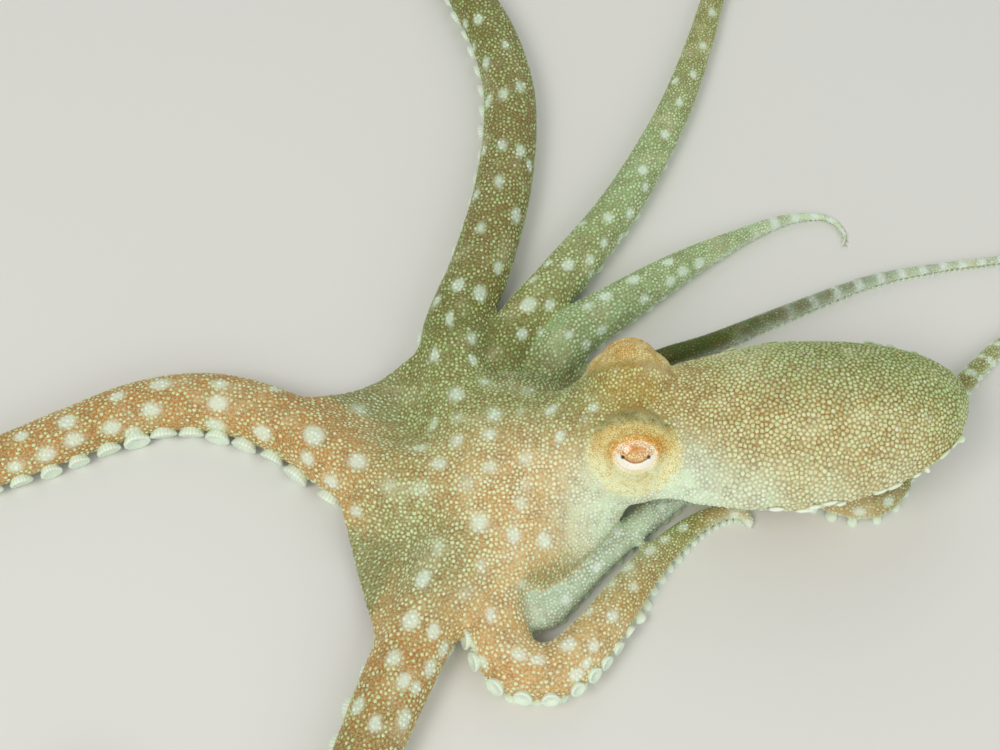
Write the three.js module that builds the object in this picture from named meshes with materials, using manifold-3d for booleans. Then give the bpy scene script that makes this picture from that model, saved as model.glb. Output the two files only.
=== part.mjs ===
// A life-size octopus crawling over flat ground, as closed solids that meet with thin cuts.
// Millimetres, +Z up. The origin is on the ground under the mouth. The animal faces -X, its
// mantle trails towards +X, and its left side faces -Y.
import * as THREE from 'three';
import { mergeVertices } from 'three/addons/utils/BufferGeometryUtils.js';
import Module from 'manifold-3d';

const wasm = await Module();
wasm.setup();

// ---- Driving dimensions ----------------------------------------------------------------
const CUT = 0.3; // gap left between neighbouring solids
const ARM_SIDES = [10, 8, 6]; // sides of the sections of the three parts, one side on the ground
const ARM_HEIGHT = 0.9; // an arm's height as a share of its width
const ARM_LIFT = 0.86; // height of an arm's centre above its underside, in half heights
const RING_STEP = { radii: 1.9, shortest: 7.5, longest: 13, inBends: 3 }; // between an arm's rings
const RING_TURN = THREE.MathUtils.degToRad(27); // most that an arm bends from ring to ring
const ARM_PARTS = ['base', 'middle', 'tip'];
const ARM_CUTS = [0.38, 0.68]; // where an arm is parted, as shares of its length
const STUMP_START = 5; // the arms' stumps run from here under the crown
const STUMP_END = 31;
const TIP_RADIUS = 0.9;

// Routes run over the ground plan from the mouth out: [x, y]. girth lists [distance from the
// mouth, arm radius], and curl is the spiral at the tip: its first and last radius, and its turn.
const ARMS = {
  left_1: {
    route: [[0, 0], [-25, 3], [-38, 9], [-55, 21], [-74, 28], [-93, 27], [-113, 19], [-131, 11],
      [-152, 5], [-173, 6], [-190, 15]],
    curl: { radius: 21, tightest: 6, turn: -400 },
    girth: [[0, 13], [20, 12], [40, 9.8], [60, 8.7], [130, 7], [200, 5.4], [260, 3.2]],
  },
  left_2: {
    route: [[0, 0], [-9, -18], [-18, -33], [-25, -49], [-31, -65], [-38, -85], [-50, -103],
      [-69, -115], [-92, -118]],
    curl: { radius: 27, tightest: 6, turn: -420 },
    girth: [[0, 13], [20, 11.5], [40, 9.4], [72, 8.2], [130, 6.6], [200, 4.8], [260, 2.8]],
  },
  left_3: {
    route: [[0, 0], [-1, -18], [-1, -33], [3, -43.5], [13, -45.5], [22.5, -37], [35.3, -19.5],
      [43.3, -10.8], [50.5, -4.8], [56.5, -1.8], [60.5, -1.2]],
    curl: { radius: 4, tightest: 3, turn: -130 },
    girth: [[0, 11], [30, 8.4], [60, 7], [78, 6], [92, 4.9], [103, 4], [115, 3], [124, 2.2]],
  },
  left_4: {
    route: [[0, 0], [2.5, -14], [5, -25.5], [9.8, -30.5], [16, -25], [24, -16.2],
      [33, -7.6], [42.5, 0.8], [52, 7.8], [61.5, 11.8], [71, 11], [79, 5.8], [88, 1.2],
      [96, 0.8], [102, 6.5], [108, 17], [116, 27], [124, 36], [136, 48], [151, 56]],
    curl: { radius: 22, tightest: 5, turn: -330 },
    girth: [[0, 8], [25, 5.6], [42, 4.5], [62, 4.3], [90, 4.4], [135, 4.8], [165, 3.8], [205, 2.6]],
  },
  right_1: {
    route: [[0, 0], [-11, 27], [-12, 49], [-5, 72], [1, 99], [3, 128], [-1, 151], [-9, 171],
      [-17, 189], [-21, 206]],
    curl: { radius: 15, tightest: 5, turn: 420 },
    girth: [[0, 13], [20, 11.5], [40, 9.8], [60, 8.8], [128, 8], [175, 7], [240, 4]],
  },
  right_2: {
    route: [[0, 0], [-1, 27], [4, 49], [17, 68], [34, 93], [50, 125], [60, 153], [67, 176],
      [77, 195], [89, 209]],
    curl: { radius: 15, tightest: 5, turn: -400 },
    girth: [[0, 10], [29, 5.6], [44, 7.2], [60, 7.3], [110, 6], [185, 4], [240, 2.8]],
  },
  right_3: {
    route: [[0, 0], [8, 25], [17, 46], [33, 60], [52, 74], [70, 85], [82, 90.5], [91, 91.5]],
    curl: { radius: 8, tightest: 4.5, turn: -140 },
    girth: [[0, 10], [29, 5.6], [46, 7.2], [60, 7.2], [90, 5], [112, 3], [130, 1.9]],
  },
  right_4: {
    route: [[0, 0], [15, 19], [27, 34], [42, 42.5], [57, 48.5], [77, 58], [102, 69], [122, 74],
      [141, 77], [162, 82], [180, 92]],
    curl: { radius: 16, tightest: 5, turn: 300 },
    girth: [[0, 9], [25, 5.8], [55, 3.8], [95, 2.8], [150, 1.7], [200, 1.3]],
  },
};

// The skin between two neighbouring arms, clockwise seen from above: how far it runs along each,
// and how far its free edge draws in between them, as a share of that reach.
const WEBS = [
  { arms: ['left_3', 'left_2'], reach: [42, 46], draw: 0.1 },
  { arms: ['left_2', 'left_1'], reach: [58, 49], draw: -0.02 },
  { arms: ['left_1', 'right_1'], reach: [68, 52], draw: 0.05 },
  { arms: ['right_3', 'right_4'], reach: [56, 54], draw: 0.1 },
];
// attach: how far above an arm's centre its webs spring, in half heights.
const WEB = { thickness: 2.2, start: 6, attach: 0.8, sag: 0.68, across: 5, out: 4 };

const CROWN = { centre: [3, 4.5, 7], sizes: [26, 31.5, 17] };
const HEAD = [ // the head, the brow before it, the nape behind it and the throat under it
  { centre: [31, 10.5, 21], sizes: [21, 18.5, 13.5], turn: 8 },
  { centre: [16, 7.5, 15], sizes: [20, 18, 13], turn: 0 },
  { centre: [43, 10.5, 22.5], sizes: [14, 18, 11.5], turn: 0 },
  { centre: [14.5, -7, 11.5], sizes: [24, 13, 10.5], turn: 44 },
];
const EYE_MOUNDS = [
  { centre: [32.5, 4, 27], sizes: [11, 10.5, 10.5], turn: 0 },
  { centre: [32.3, 21.5, 28], sizes: [11.5, 10.5, 10.5], turn: 0 },
];
const EYE = { radius: 7.2, opening: 5.4, depth: 0.2 };
const EYE_SIDES = { left: -1, right: 1 }; // the side of Y that each eye looks to
const EYE_TILTS = { left: 50, right: 40 }; // degrees that each eye looks above the horizon
const SIPHON = { from: [42, 3, 15], to: [52.5, -3.5, 13], root: 4.6, mouth: 3 };

const MANTLE = {
  axis: [[44, 10, 24], [85, 11, 24.5], [117.5, 23.5, 22]], // neck, bend and tip
  halfWidth: 22.2,
  halfHeight: 15,
  neck: 0.76, // its height at the neck, as a share
  around: 20,
  rings: 16,
};
const KEEL = { height: 0.07, spread: 0.2 }; // side ridge: share of the half width, radians

const SKIN = { color: 0xb08457, roughness: 0.55, metalness: 0 };
const WEB_SKIN = { color: 0x8f8763, roughness: 0.55, metalness: 0 };
const EYE_SKIN = { color: 0xd98a3a, roughness: 0.15, metalness: 0 };

// ---- Solids from three.js geometry ------------------------------------------------------
// A closed geometry as a manifold-3d solid, for joining and cutting.
function solid(geometry) {
  geometry.deleteAttribute('normal');
  geometry.deleteAttribute('uv');
  const merged = mergeVertices(geometry, 1e-3);
  return new wasm.Manifold(new wasm.Mesh({
    numProp: 3,
    vertProperties: merged.getAttribute('position').array,
    triVerts: new Uint32Array(merged.index.array),
  }));
}

// The largest separate body of a solid that a cut may have split.
function mainBody(whole) {
  const bodies = whole.decompose().sort((a, b) => b.volume() - a.volume());
  return bodies[0];
}

const joined = (solids) => solids.reduce((whole, one) => whole.add(one));
const cutBy = (whole, cutters) => mainBody(cutters.reduce((rest, one) => rest.subtract(one), whole));

// Moves every vertex of a geometry to where place(vertex) puts it.
function reshaped(geometry, place) {
  const position = geometry.getAttribute('position');
  for (let i = 0; i < position.count; i++) {
    const moved = place(new THREE.Vector3().fromBufferAttribute(position, i));
    position.setXYZ(i, moved.x, moved.y, moved.z);
  }
  return geometry;
}

// Straight-line interpolation in a list of [key, value] pairs.
function along(pairs, key) {
  const next = pairs.findIndex(([at]) => at > key);
  if (next === 0) return pairs[0][1];
  if (next === -1) return pairs[pairs.length - 1][1];
  const [[from, low], [to, high]] = pairs.slice(next - 1, next + 1);
  return THREE.MathUtils.mapLinear(key, from, to, low, high);
}

const vector = (numbers) => new THREE.Vector3(...numbers);
const bump = (share) => 4 * share * (1 - share); // 0 at both ends and 1 in the middle

// ---- Arms --------------------------------------------------------------------------------
const UP = new THREE.Vector3(0, 0, 1);
const SPINE = new THREE.Vector3(0, 1, 0); // the axis of a CylinderGeometry

// A route's points with its curl added: equal turns on a radius that shrinks to the tightest.
function withCurl(route, { radius, tightest, turn }) {
  const points = route.map(([x, y]) => new THREE.Vector3(x, y, 0));
  const [before, last] = points.slice(-2);
  const turns = Math.ceil(Math.abs(turn) / 30);
  const step = THREE.MathUtils.degToRad(turn / turns);
  let heading = Math.atan2(last.y - before.y, last.x - before.x);
  for (let i = 0; i < turns; i++) {
    const bend = THREE.MathUtils.lerp(radius, tightest, i / (turns - 1));
    const chord = 2 * bend * Math.sin(Math.abs(step) / 2);
    heading += step;
    points.push(new THREE.Vector3(chord, 0, 0).applyAxisAngle(UP, heading).add(points.at(-1)));
  }
  return points;
}

function makeArm({ route, curl, girth }) {
  const curve = new THREE.CatmullRomCurve3(withCurl(route, curl), false, 'catmullrom', 0.5);
  curve.arcLengthDivisions = 600;
  const length = curve.getLength();
  return { curve, length, girth: [...girth, [length, TIP_RADIUS]] };
}

// An arm's centre, its sideways direction and its half width, at a distance from the mouth.
function station(arm, distance) {
  const share = THREE.MathUtils.clamp(distance / arm.length, 0, 1);
  const centre = arm.curve.getPointAt(share);
  const side = arm.curve.getTangentAt(share).cross(UP).normalize();
  const radius = along(arm.girth, distance);
  centre.z = radius * ARM_HEIGHT * ARM_LIFT;
  return { centre, side, radius };
}

// The distances of an arm's rings, closer together where it is thin and where it bends.
function ringDistances(arm, from, to) {
  const heading = (distance) => arm.curve.getTangentAt(Math.min(distance / arm.length, 1));
  const rings = [from];
  while (rings.at(-1) < to) {
    const last = rings.at(-1);
    const straight = RING_STEP.radii * along(arm.girth, last);
    let step = THREE.MathUtils.clamp(straight, RING_STEP.shortest, RING_STEP.longest);
    while (step > RING_STEP.inBends && heading(last).angleTo(heading(last + step)) > RING_TURN) {
      step -= 0.5;
    }
    rings.push(last + step);
  }
  const squeeze = (to - from) / (rings.at(-1) - from);
  return rings.map((distance) => from + (distance - from) * squeeze);
}

// A stretch of an arm: a capped cylinder laid along the route, its underside flat on the ground.
// grown makes it stouter all round, for cutting what lies beside it.
function armStretch(arm, from, to, grown = 0, sides = ARM_SIDES[0]) {
  const rings = ringDistances(arm, from, to);
  const last = rings.length - 1;
  const tube = new THREE.CylinderGeometry(1, 1, 1, sides, last);
  return solid(reshaped(tube, (point) => {
    const { centre, side, radius } = station(arm, rings[Math.round((point.y + 0.5) * last)]);
    const size = radius + grown;
    point.applyAxisAngle(SPINE, Math.PI / sides);
    centre.addScaledVector(side, point.x * size);
    centre.z = Math.max(centre.z + point.z * size * ARM_HEIGHT, -grown);
    return centre;
  }));
}

// An arm's three parts, laid end to end from the crown.
function armParts(arm, grown = 0) {
  const ends = [STUMP_END - CUT, ...ARM_CUTS.map((share) => share * arm.length), arm.length];
  return ARM_SIDES.map(
    (sides, i) => armStretch(arm, ends[i] + (i > 0 ? CUT : 0), ends[i + 1], grown, sides),
  );
}

const arms = Object.fromEntries(Object.entries(ARMS).map(([name, arm]) => [name, makeArm(arm)]));
const grownArms = Object.values(arms).map((arm) => joined(armParts(arm, CUT)));

// ---- Crown, head, eyes, mantle and siphon ---------------------------------------------------
// An egg shape with three half sizes, turned about Z, with its poles at its ends in Z.
function egg({ centre, sizes, turn = 0 }, grown = 0, around = 14, down = 8) {
  const ball = new THREE.SphereGeometry(1, around, down).rotateX(Math.PI / 2);
  ball.scale(...sizes.map((size) => size + grown));
  return ball.rotateZ(THREE.MathUtils.degToRad(turn)).translate(...centre);
}

function crownSolid(grown = 0) {
  const dome = reshaped(egg(CROWN, grown, 20, 10), (point) => {
    point.z = Math.max(point.z, -grown);
    return point;
  });
  const stumps = Object.values(arms).map((arm) => armStretch(arm, STUMP_START, STUMP_END + grown, grown));
  return joined([solid(dome), ...stumps]);
}

function headSolid(grown = 0) {
  const mounds = EYE_MOUNDS.map((mound) => solid(egg(mound, grown)));
  return joined([...HEAD.map((part) => solid(egg(part, grown, 14, 8))), ...mounds]);
}

// The direction that an eye looks in, and the centre of its ball.
function eyePlace(side) {
  const mound = EYE_MOUNDS[side === 'left' ? 0 : 1];
  const tilt = THREE.MathUtils.degToRad(EYE_TILTS[side]);
  const gaze = new THREE.Vector3(0, EYE_SIDES[side] * Math.cos(tilt), Math.sin(tilt));
  const reach = mound.sizes[2] + EYE.depth - EYE.radius;
  return { gaze, centre: vector(mound.centre).addScaledVector(gaze, reach) };
}

const eyeball = (side, grown = 0) => solid(new THREE.SphereGeometry(EYE.radius + grown, 14, 9)
  .translate(...eyePlace(side).centre));

// The open space between the lids, straight out from the ball.
function lidOpening(side) {
  const { gaze, centre } = eyePlace(side);
  const turned = new THREE.Quaternion().setFromUnitVectors(SPINE, gaze);
  const shaft = new THREE.CylinderGeometry(EYE.opening, EYE.opening, EYE.radius * 2, 16);
  return solid(shaft.translate(0, EYE.radius, 0).applyQuaternion(turned).translate(...centre));
}

// How full the mantle is along its axis: a soft shoulder, full by a third, then a blunt point.
function mantleSwell(share) {
  const front = 0.84 + 0.16 * Math.sin(Math.min(share / 0.4, 1) * Math.PI / 2);
  const back = Math.max(0, 1 - Math.max(0, (share - 0.3) / 0.7) ** 2);
  return front * Math.sqrt(back);
}

function mantleSolid(grown = 0) {
  const axis = new THREE.QuadraticBezierCurve3(...MANTLE.axis.map(vector));
  const ball = new THREE.SphereGeometry(1, MANTLE.around, MANTLE.rings).rotateZ(-Math.PI / 2);
  return solid(reshaped(ball, (point) => {
    const share = (1 + Math.sin(Math.PI / 2 * point.x)) / 2;
    const angle = Math.atan2(point.z, point.y);
    const onAxis = Math.hypot(point.y, point.z) < 1e-6;
    const swell = onAxis ? 0 : mantleSwell(share) * Math.min(1, (point.x + 1) * 6);
    const fromSide = Math.min(Math.abs(angle), Math.PI - Math.abs(angle));
    const keel = 1 + KEEL.height * Math.exp(-((fromSide / KEEL.spread) ** 2));
    const tall = THREE.MathUtils.lerp(MANTLE.neck, 1, THREE.MathUtils.smoothstep(share, 0, 0.35));
    const side = UP.clone().cross(axis.getTangent(share)).normalize();
    return axis.getPoint(share)
      .addScaledVector(side, Math.cos(angle) * (MANTLE.halfWidth * swell * keel + grown))
      .addScaledVector(UP, Math.sin(angle) * (MANTLE.halfHeight * swell * tall + grown));
  }));
}

function siphonSolid() {
  const [from, to] = [vector(SIPHON.from), vector(SIPHON.to)];
  const reach = to.clone().sub(from);
  const turned = new THREE.Quaternion().setFromUnitVectors(SPINE, reach.clone().normalize());
  const cone = new THREE.CylinderGeometry(SIPHON.mouth, SIPHON.root, reach.length(), 12);
  return solid(cone.translate(0, reach.length() / 2, 0).applyQuaternion(turned).translate(...from));
}

// ---- Webs ----------------------------------------------------------------------------------
function webSolid({ arms: pair, reach, draw }) {
  const sheet = new THREE.BoxGeometry(1, 1, 1, WEB.across, WEB.out, 1);
  return solid(reshaped(sheet, (point) => {
    const [across, out] = [point.x + 0.5, point.y + 0.5];
    const slack = bump(across) * out;
    const [from, to] = pair.map((name, i) => {
      const end = reach[i] * (1 - draw * slack);
      const { centre, radius } = station(arms[name], THREE.MathUtils.lerp(WEB.start, end, out));
      return centre.setZ(centre.z + WEB.attach * radius * ARM_HEIGHT);
    });
    const middle = from.lerp(to, across);
    const lowest = WEB.thickness / 2;
    const sag = WEB.sag * Math.sin(Math.PI * across) ** 2 * out;
    const height = Math.max(lowest, middle.z * (1 - sag));
    return middle.setZ(height + point.z * WEB.thickness);
  }));
}

// ---- The animal, parted with thin cuts ---------------------------------------------------------
const octopus = new THREE.Group();
octopus.name = 'octopus';

function addPart(name, body, skin) {
  const { vertProperties, triVerts } = body.getMesh();
  const geometry = new THREE.BufferGeometry();
  geometry.setAttribute('position', new THREE.BufferAttribute(vertProperties, 3));
  geometry.setIndex(new THREE.BufferAttribute(triVerts, 1));
  geometry.computeVertexNormals();
  const mesh = new THREE.Mesh(geometry, new THREE.MeshStandardMaterial(skin));
  mesh.name = name;
  octopus.add(mesh);
}

const grownHead = headSolid(CUT);
const grownMantle = mantleSolid(CUT);
const grownCrown = crownSolid(CUT);

addPart('head', cutBy(headSolid(), Object.keys(EYE_SIDES).flatMap(
  (side) => [eyeball(side, CUT), lidOpening(side)],
)), SKIN);
for (const side of Object.keys(EYE_SIDES)) addPart(`eye_${side}`, eyeball(side), EYE_SKIN);
addPart('mantle', cutBy(mantleSolid(), [grownHead]), SKIN);
addPart('crown', cutBy(crownSolid(), [grownHead, grownMantle]), SKIN);
addPart('siphon', cutBy(siphonSolid(), [grownHead, grownMantle, grownCrown]), SKIN);

// Each arm gives way to the trunk and to the arms before it.
const trunk = [grownCrown, grownHead, grownMantle];
Object.entries(arms).forEach(([name, arm], order) => {
  armParts(arm).forEach((part, i) => {
    const body = cutBy(part, [...trunk, ...grownArms.slice(0, order)]);
    addPart(`arm_${name}_${ARM_PARTS[i]}`, body, SKIN);
  });
});

for (const web of WEBS) {
  addPart(`web_${web.arms.join('_')}`, cutBy(webSolid(web), [...trunk, ...grownArms]), WEB_SKIN);
}

export default octopus;
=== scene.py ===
# %% [markdown]
# # An octopus on level ground
# This lesson dresses a life-size octopus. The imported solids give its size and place, and stay the
# measure of everything: one skin is modelled inside them, and suckers, eyes and skin granules are
# added where the animal has them. All lengths here are in millimetres until a mesh is finished,
# because an animal this small is easier to read that way.

# %% Load the frame
import math

import bmesh
import bpy
import numpy as np
from mathutils import Matrix, Vector
from mathutils.bvhtree import BVHTree
from mathutils.kdtree import KDTree


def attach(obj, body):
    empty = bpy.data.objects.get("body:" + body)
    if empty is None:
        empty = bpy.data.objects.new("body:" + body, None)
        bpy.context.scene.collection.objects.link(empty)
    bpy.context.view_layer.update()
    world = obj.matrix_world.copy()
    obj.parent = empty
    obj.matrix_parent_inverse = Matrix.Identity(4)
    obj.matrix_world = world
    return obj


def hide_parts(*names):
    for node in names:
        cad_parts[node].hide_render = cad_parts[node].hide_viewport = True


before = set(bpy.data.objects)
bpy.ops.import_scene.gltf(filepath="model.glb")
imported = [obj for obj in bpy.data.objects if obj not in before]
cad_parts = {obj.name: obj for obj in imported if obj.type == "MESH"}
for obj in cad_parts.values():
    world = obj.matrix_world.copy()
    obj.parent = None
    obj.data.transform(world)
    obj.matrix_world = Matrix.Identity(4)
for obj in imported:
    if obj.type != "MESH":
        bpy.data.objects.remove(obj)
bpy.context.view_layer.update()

MM = 0.001
rng = np.random.default_rng(20)
print("nodes:", len(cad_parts))

# %% [markdown]
# ## Where the camera stands
# The animal is seen from above at 60 degrees, with a 60 mm lens. The aim point is on the ground
# straight behind the mouth, which is the frame's origin. Making the camera first lets every later
# cell be judged from the same place.

# %% Camera
CAMERA = {"lens": 60.0, "sensor": 36.0, "elevation": 60.0, "distance": 450.0,
          "aim": (0.0, 40.2, 0.0), "clip": (0.01, 20.0)}  # the clip is in metres


def add_camera():
    data = bpy.data.cameras.new("camera")
    data.lens = CAMERA["lens"]
    data.sensor_width = CAMERA["sensor"]
    data.clip_start, data.clip_end = CAMERA["clip"]
    camera = bpy.data.objects.new("camera", data)
    bpy.context.scene.collection.objects.link(camera)
    tilt = math.radians(CAMERA["elevation"])
    back = Vector((0, -math.cos(tilt), math.sin(tilt)))
    camera.location = (Vector(CAMERA["aim"]) + back * CAMERA["distance"]) * MM
    camera.rotation_euler = (math.pi / 2 - tilt, 0, 0)
    bpy.context.scene.camera = camera
    return camera


camera = add_camera()
print("camera at", tuple(round(x, 3) for x in camera.location))

# %% [markdown]
# ## Floor and light
# A wide pale floor leaves nothing to distract the eye. Four large area lights and a dim world give
# the soft light of a studio: a key from the upper left, a broad fill, one from the front, and a low
# light from behind that picks out wet skin. The Standard view transform keeps the painted colours
# as they are.

# %% Studio
FLOOR_SIZE = 6.0
FLOOR_COLOUR = (0.80, 0.79, 0.76, 1.0)
FLOOR_ROUGHNESS = 0.9
WORLD_COLOUR, WORLD_STRENGTH = (0.96, 0.98, 0.97, 1.0), 0.42
LIGHTS = {
    "key": {"at": (-0.50, -0.45, 0.95), "size": 0.50, "watts": 4.5, "colour": (1.0, 0.98, 0.92)},
    "fill": {"at": (0.75, -0.55, 0.80), "size": 0.90, "watts": 2.4, "colour": (0.97, 1.0, 0.97)},
    "front": {"at": (0.05, -0.95, 0.50), "size": 0.80, "watts": 2.0, "colour": (0.98, 1.0, 0.97)},
    "back": {"at": (0.10, 0.95, 0.60), "size": 0.80, "watts": 1.7, "colour": (0.97, 1.0, 0.96)},
}


def add_studio():
    bpy.ops.mesh.primitive_plane_add(size=FLOOR_SIZE)
    floor = bpy.context.object
    floor.name = "floor"
    material = bpy.data.materials.new("floor")
    material.use_nodes = True
    shader = material.node_tree.nodes["Principled BSDF"]
    shader.inputs["Base Color"].default_value = FLOOR_COLOUR
    shader.inputs["Roughness"].default_value = FLOOR_ROUGHNESS
    floor.data.materials.append(material)
    for name, light in LIGHTS.items():
        data = bpy.data.lights.new(name, "AREA")
        data.size = light["size"]
        data.energy = light["watts"]
        data.color = light["colour"]
        lamp = bpy.data.objects.new(name, data)
        lamp.location = light["at"]
        lamp.rotation_euler = (-Vector(light["at"])).to_track_quat("-Z", "Y").to_euler()
        bpy.context.scene.collection.objects.link(lamp)
    world = bpy.data.worlds.new("studio")
    world.use_nodes = True
    background = world.node_tree.nodes["Background"].inputs
    background["Color"].default_value = WORLD_COLOUR
    background["Strength"].default_value = WORLD_STRENGTH
    bpy.context.scene.world = world
    bpy.context.scene.view_settings.view_transform = "Standard"


add_studio()
print("lights:", ", ".join(LIGHTS))

# %% [markdown]
# ## The arms' routes
# An octopus arm is a muscular rod with no bone, so its pose is one smooth curve. Each route is a
# few points over the ground, from the mouth out, and a spiral that a loop works out at the tip. A
# Catmull-Rom curve through the points is smooth and passes through each of them, so the arm goes
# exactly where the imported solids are.

# %% Routes and girths
ARMS = {
    "left_1": {
        "route": [(0, 0), (-25, 3), (-38, 9), (-55, 21), (-74, 28), (-93, 27), (-113, 19),
                  (-131, 11), (-152, 5), (-173, 6), (-190, 15)],
        "curl": (21, 6, -400),
        "girth": [(0, 13), (20, 12), (40, 9.8), (60, 8.7), (130, 7), (200, 5.4), (260, 3.2)],
    },
    "left_2": {
        "route": [(0, 0), (-9, -18), (-18, -33), (-25, -49), (-31, -65), (-38, -85), (-50, -103),
                  (-69, -115), (-92, -118)],
        "curl": (27, 6, -420),
        "girth": [(0, 13), (20, 11.5), (40, 9.4), (72, 8.2), (130, 6.6), (200, 4.8), (260, 2.8)],
    },
    "left_3": {
        "route": [(0, 0), (-1, -18), (-1, -33), (3, -43.5), (13, -45.5), (22.5, -37), (35.3, -19.5),
                  (43.3, -10.8), (50.5, -4.8), (56.5, -1.8), (60.5, -1.2)],
        "curl": (4, 3, -130),
        "girth": [(0, 11), (30, 8.4), (60, 7), (78, 6), (92, 4.9), (103, 4), (115, 3), (124, 2.2)],
    },
    "left_4": {
        "route": [(0, 0), (2.5, -14), (5, -25.5), (9.8, -30.5), (16, -25), (24, -16.2),
                  (33, -7.6), (42.5, 0.8), (52, 7.8), (61.5, 11.8), (71, 11), (79, 5.8), (88, 1.2),
                  (96, 0.8), (102, 6.5), (108, 17), (116, 27), (124, 36), (136, 48), (151, 56)],
        "curl": (22, 5, -330),
        "girth": [(0, 8), (25, 5.6), (42, 4.5), (62, 4.3), (90, 4.4), (135, 4.8), (165, 3.8),
                  (205, 2.6)],
    },
    "right_1": {
        "route": [(0, 0), (-11, 27), (-12, 49), (-5, 72), (1, 99), (3, 128), (-1, 151), (-9, 171),
                  (-17, 189), (-21, 206)],
        "curl": (15, 5, 420),
        "girth": [(0, 13), (20, 11.5), (40, 9.8), (60, 8.8), (128, 8), (175, 7), (240, 4)],
    },
    "right_2": {
        "route": [(0, 0), (-1, 27), (4, 49), (17, 68), (34, 93), (50, 125), (60, 153), (67, 176),
                  (77, 195), (89, 209)],
        "curl": (15, 5, -400),
        "girth": [(0, 10), (29, 5.6), (44, 7.2), (60, 7.3), (110, 6), (185, 4), (240, 2.8)],
    },
    "right_3": {
        "route": [(0, 0), (8, 25), (17, 46), (33, 60), (52, 74), (70, 85), (82, 90.5), (91, 91.5)],
        "curl": (8, 4.5, -140),
        "girth": [(0, 10), (29, 5.6), (46, 7.2), (60, 7.2), (90, 5), (112, 3), (130, 1.9)],
    },
    "right_4": {
        "route": [(0, 0), (15, 19), (27, 34), (42, 42.5), (57, 48.5), (77, 58), (102, 69),
                  (122, 74), (141, 77), (162, 82), (180, 92)],
        "curl": (16, 5, 300),
        "girth": [(0, 9), (25, 5.8), (55, 3.8), (95, 2.8), (150, 1.7), (200, 1.3)],
    },
}
TIP_RADIUS = 0.9
COAT = 0.3  # the skin lies this far inside the solids, and granules and folds fill the rest
CURL_STEP = 30.0  # degrees from point to point of a curl
SPAN_STEPS = 24  # short steps from point to point of a route
AHEAD = 0.5  # a direction is measured over this much before and after a place


def with_curl(route, curl):
    """The route's points and a spiral of equal turns whose radius shrinks to the tightest."""
    points = [np.array(p, float) for p in route]
    radius, tightest, turn = curl
    turns = math.ceil(abs(turn) / CURL_STEP)
    step = math.radians(turn / turns)
    dx, dy = points[-1] - points[-2]
    heading = math.atan2(dy, dx)
    for bend in np.linspace(radius, tightest, turns):
        heading += step
        chord = 2 * bend * math.sin(abs(step) / 2)
        points.append(points[-1] + chord * np.array([math.cos(heading), math.sin(heading)]))
    return np.array(points)


def catmull_rom(points):
    """A smooth curve through all the points, as many short steps."""
    p = np.concatenate([[2 * points[0] - points[1]], points, [2 * points[-1] - points[-2]]])
    t = np.linspace(0, 1, SPAN_STEPS, endpoint=False)[:, None]
    spans = []
    for a, b, c, d in zip(p, p[1:], p[2:], p[3:]):
        m0, m1 = (c - a) / 2, (d - b) / 2
        spans.append(b + m0 * t + (-3 * b + 3 * c - 2 * m0 - m1) * t**2
                     + (2 * b - 2 * c + m0 + m1) * t**3)
    return np.concatenate(spans + [points[-1:]])


class Arm:
    """One arm's centreline over the ground, with its half width at any distance from the mouth."""

    def __init__(self, name, route, curl, girth):
        self.name = name
        self.track = catmull_rom(with_curl(route, curl))
        steps = np.linalg.norm(np.diff(self.track, axis=0), axis=1)
        self.run = np.concatenate([[0], np.cumsum(steps)])
        self.length = self.run[-1]
        self.girth = np.array([*girth, (self.length, TIP_RADIUS)], float)

    def place(self, s):
        return np.stack([np.interp(s, self.run, self.track[:, i]) for i in (0, 1)], -1)

    def half_width(self, s):
        return np.interp(s, self.girth[:, 0], self.girth[:, 1])

    def at(self, s):
        """Places over the ground, directions ahead, and half widths, at distances s."""
        ahead = self.place(s + AHEAD) - self.place(s - AHEAD)
        ahead /= np.linalg.norm(ahead, axis=-1, keepdims=True)
        return self.place(s), ahead, self.half_width(s)


arms = {name: Arm(name, **spec) for name, spec in ARMS.items()}
for name, arm in arms.items():
    print(f"{name}: {arm.length:.0f} mm long")

# %% [markdown]
# ## Rough flesh from balls of rings
# Arms, head and mantle are all closed round forms. A ball made by one operator already has closed
# poles and outward faces, so each form starts as a ball whose rings are moved along the body: the
# share of the way from pole to pole says how far along a point lies, and its angle says where it
# lies around.

# %% Ball of rings
def add_ball(bm, around, rings, place):
    """A closed ball whose every point moves to place(share of the way along, angle around)."""
    verts = bmesh.ops.create_uvsphere(bm, u_segments=around, v_segments=rings, radius=1.0)["verts"]
    unit = np.array([v.co for v in verts])
    share = np.arccos(np.clip(unit[:, 2], -1, 1)) / math.pi
    angle = np.arctan2(unit[:, 1], unit[:, 0])
    for vert, spot in zip(verts, place(share, angle)):
        vert.co = spot


def lerp(a, b, t):
    return a + (b - a) * t


def smoothstep(low, high, x):
    t = np.clip((np.asarray(x, float) - low) / (high - low), 0, 1)
    return t * t * (3 - 2 * t)


# %% [markdown]
# ## Arms
# An arm's section is nearly round, a little lower than wide. Its underside stops short of the
# ground, because the suckers stand between it and the ground. The function below is also used
# later to put suckers, white spots and granules in place, so all of them agree.

# %% Arm surface
ARM_HEIGHT, ARM_LIFT = 0.9, 0.86  # height as a share of width, and centre above the underside
UNDERSIDE = 0.25  # where the flesh ends above the ground, in half widths
THINNEST = 0.7  # half width that no flesh of an arm falls under
STUMP_START = 5.0
ARM_SIDES, RING_GAP = 30, 2.0


def arm_frame(arm, s):
    """Centres, sideways directions and half widths at distances s, all as rows of 3-D points."""
    place, ahead, radius = arm.at(s)
    centre = np.concatenate([place, (radius * ARM_HEIGHT * ARM_LIFT)[..., None]], -1)
    side = np.stack([ahead[..., 1], -ahead[..., 0], np.zeros_like(radius)], -1)
    return centre, side, radius


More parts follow.
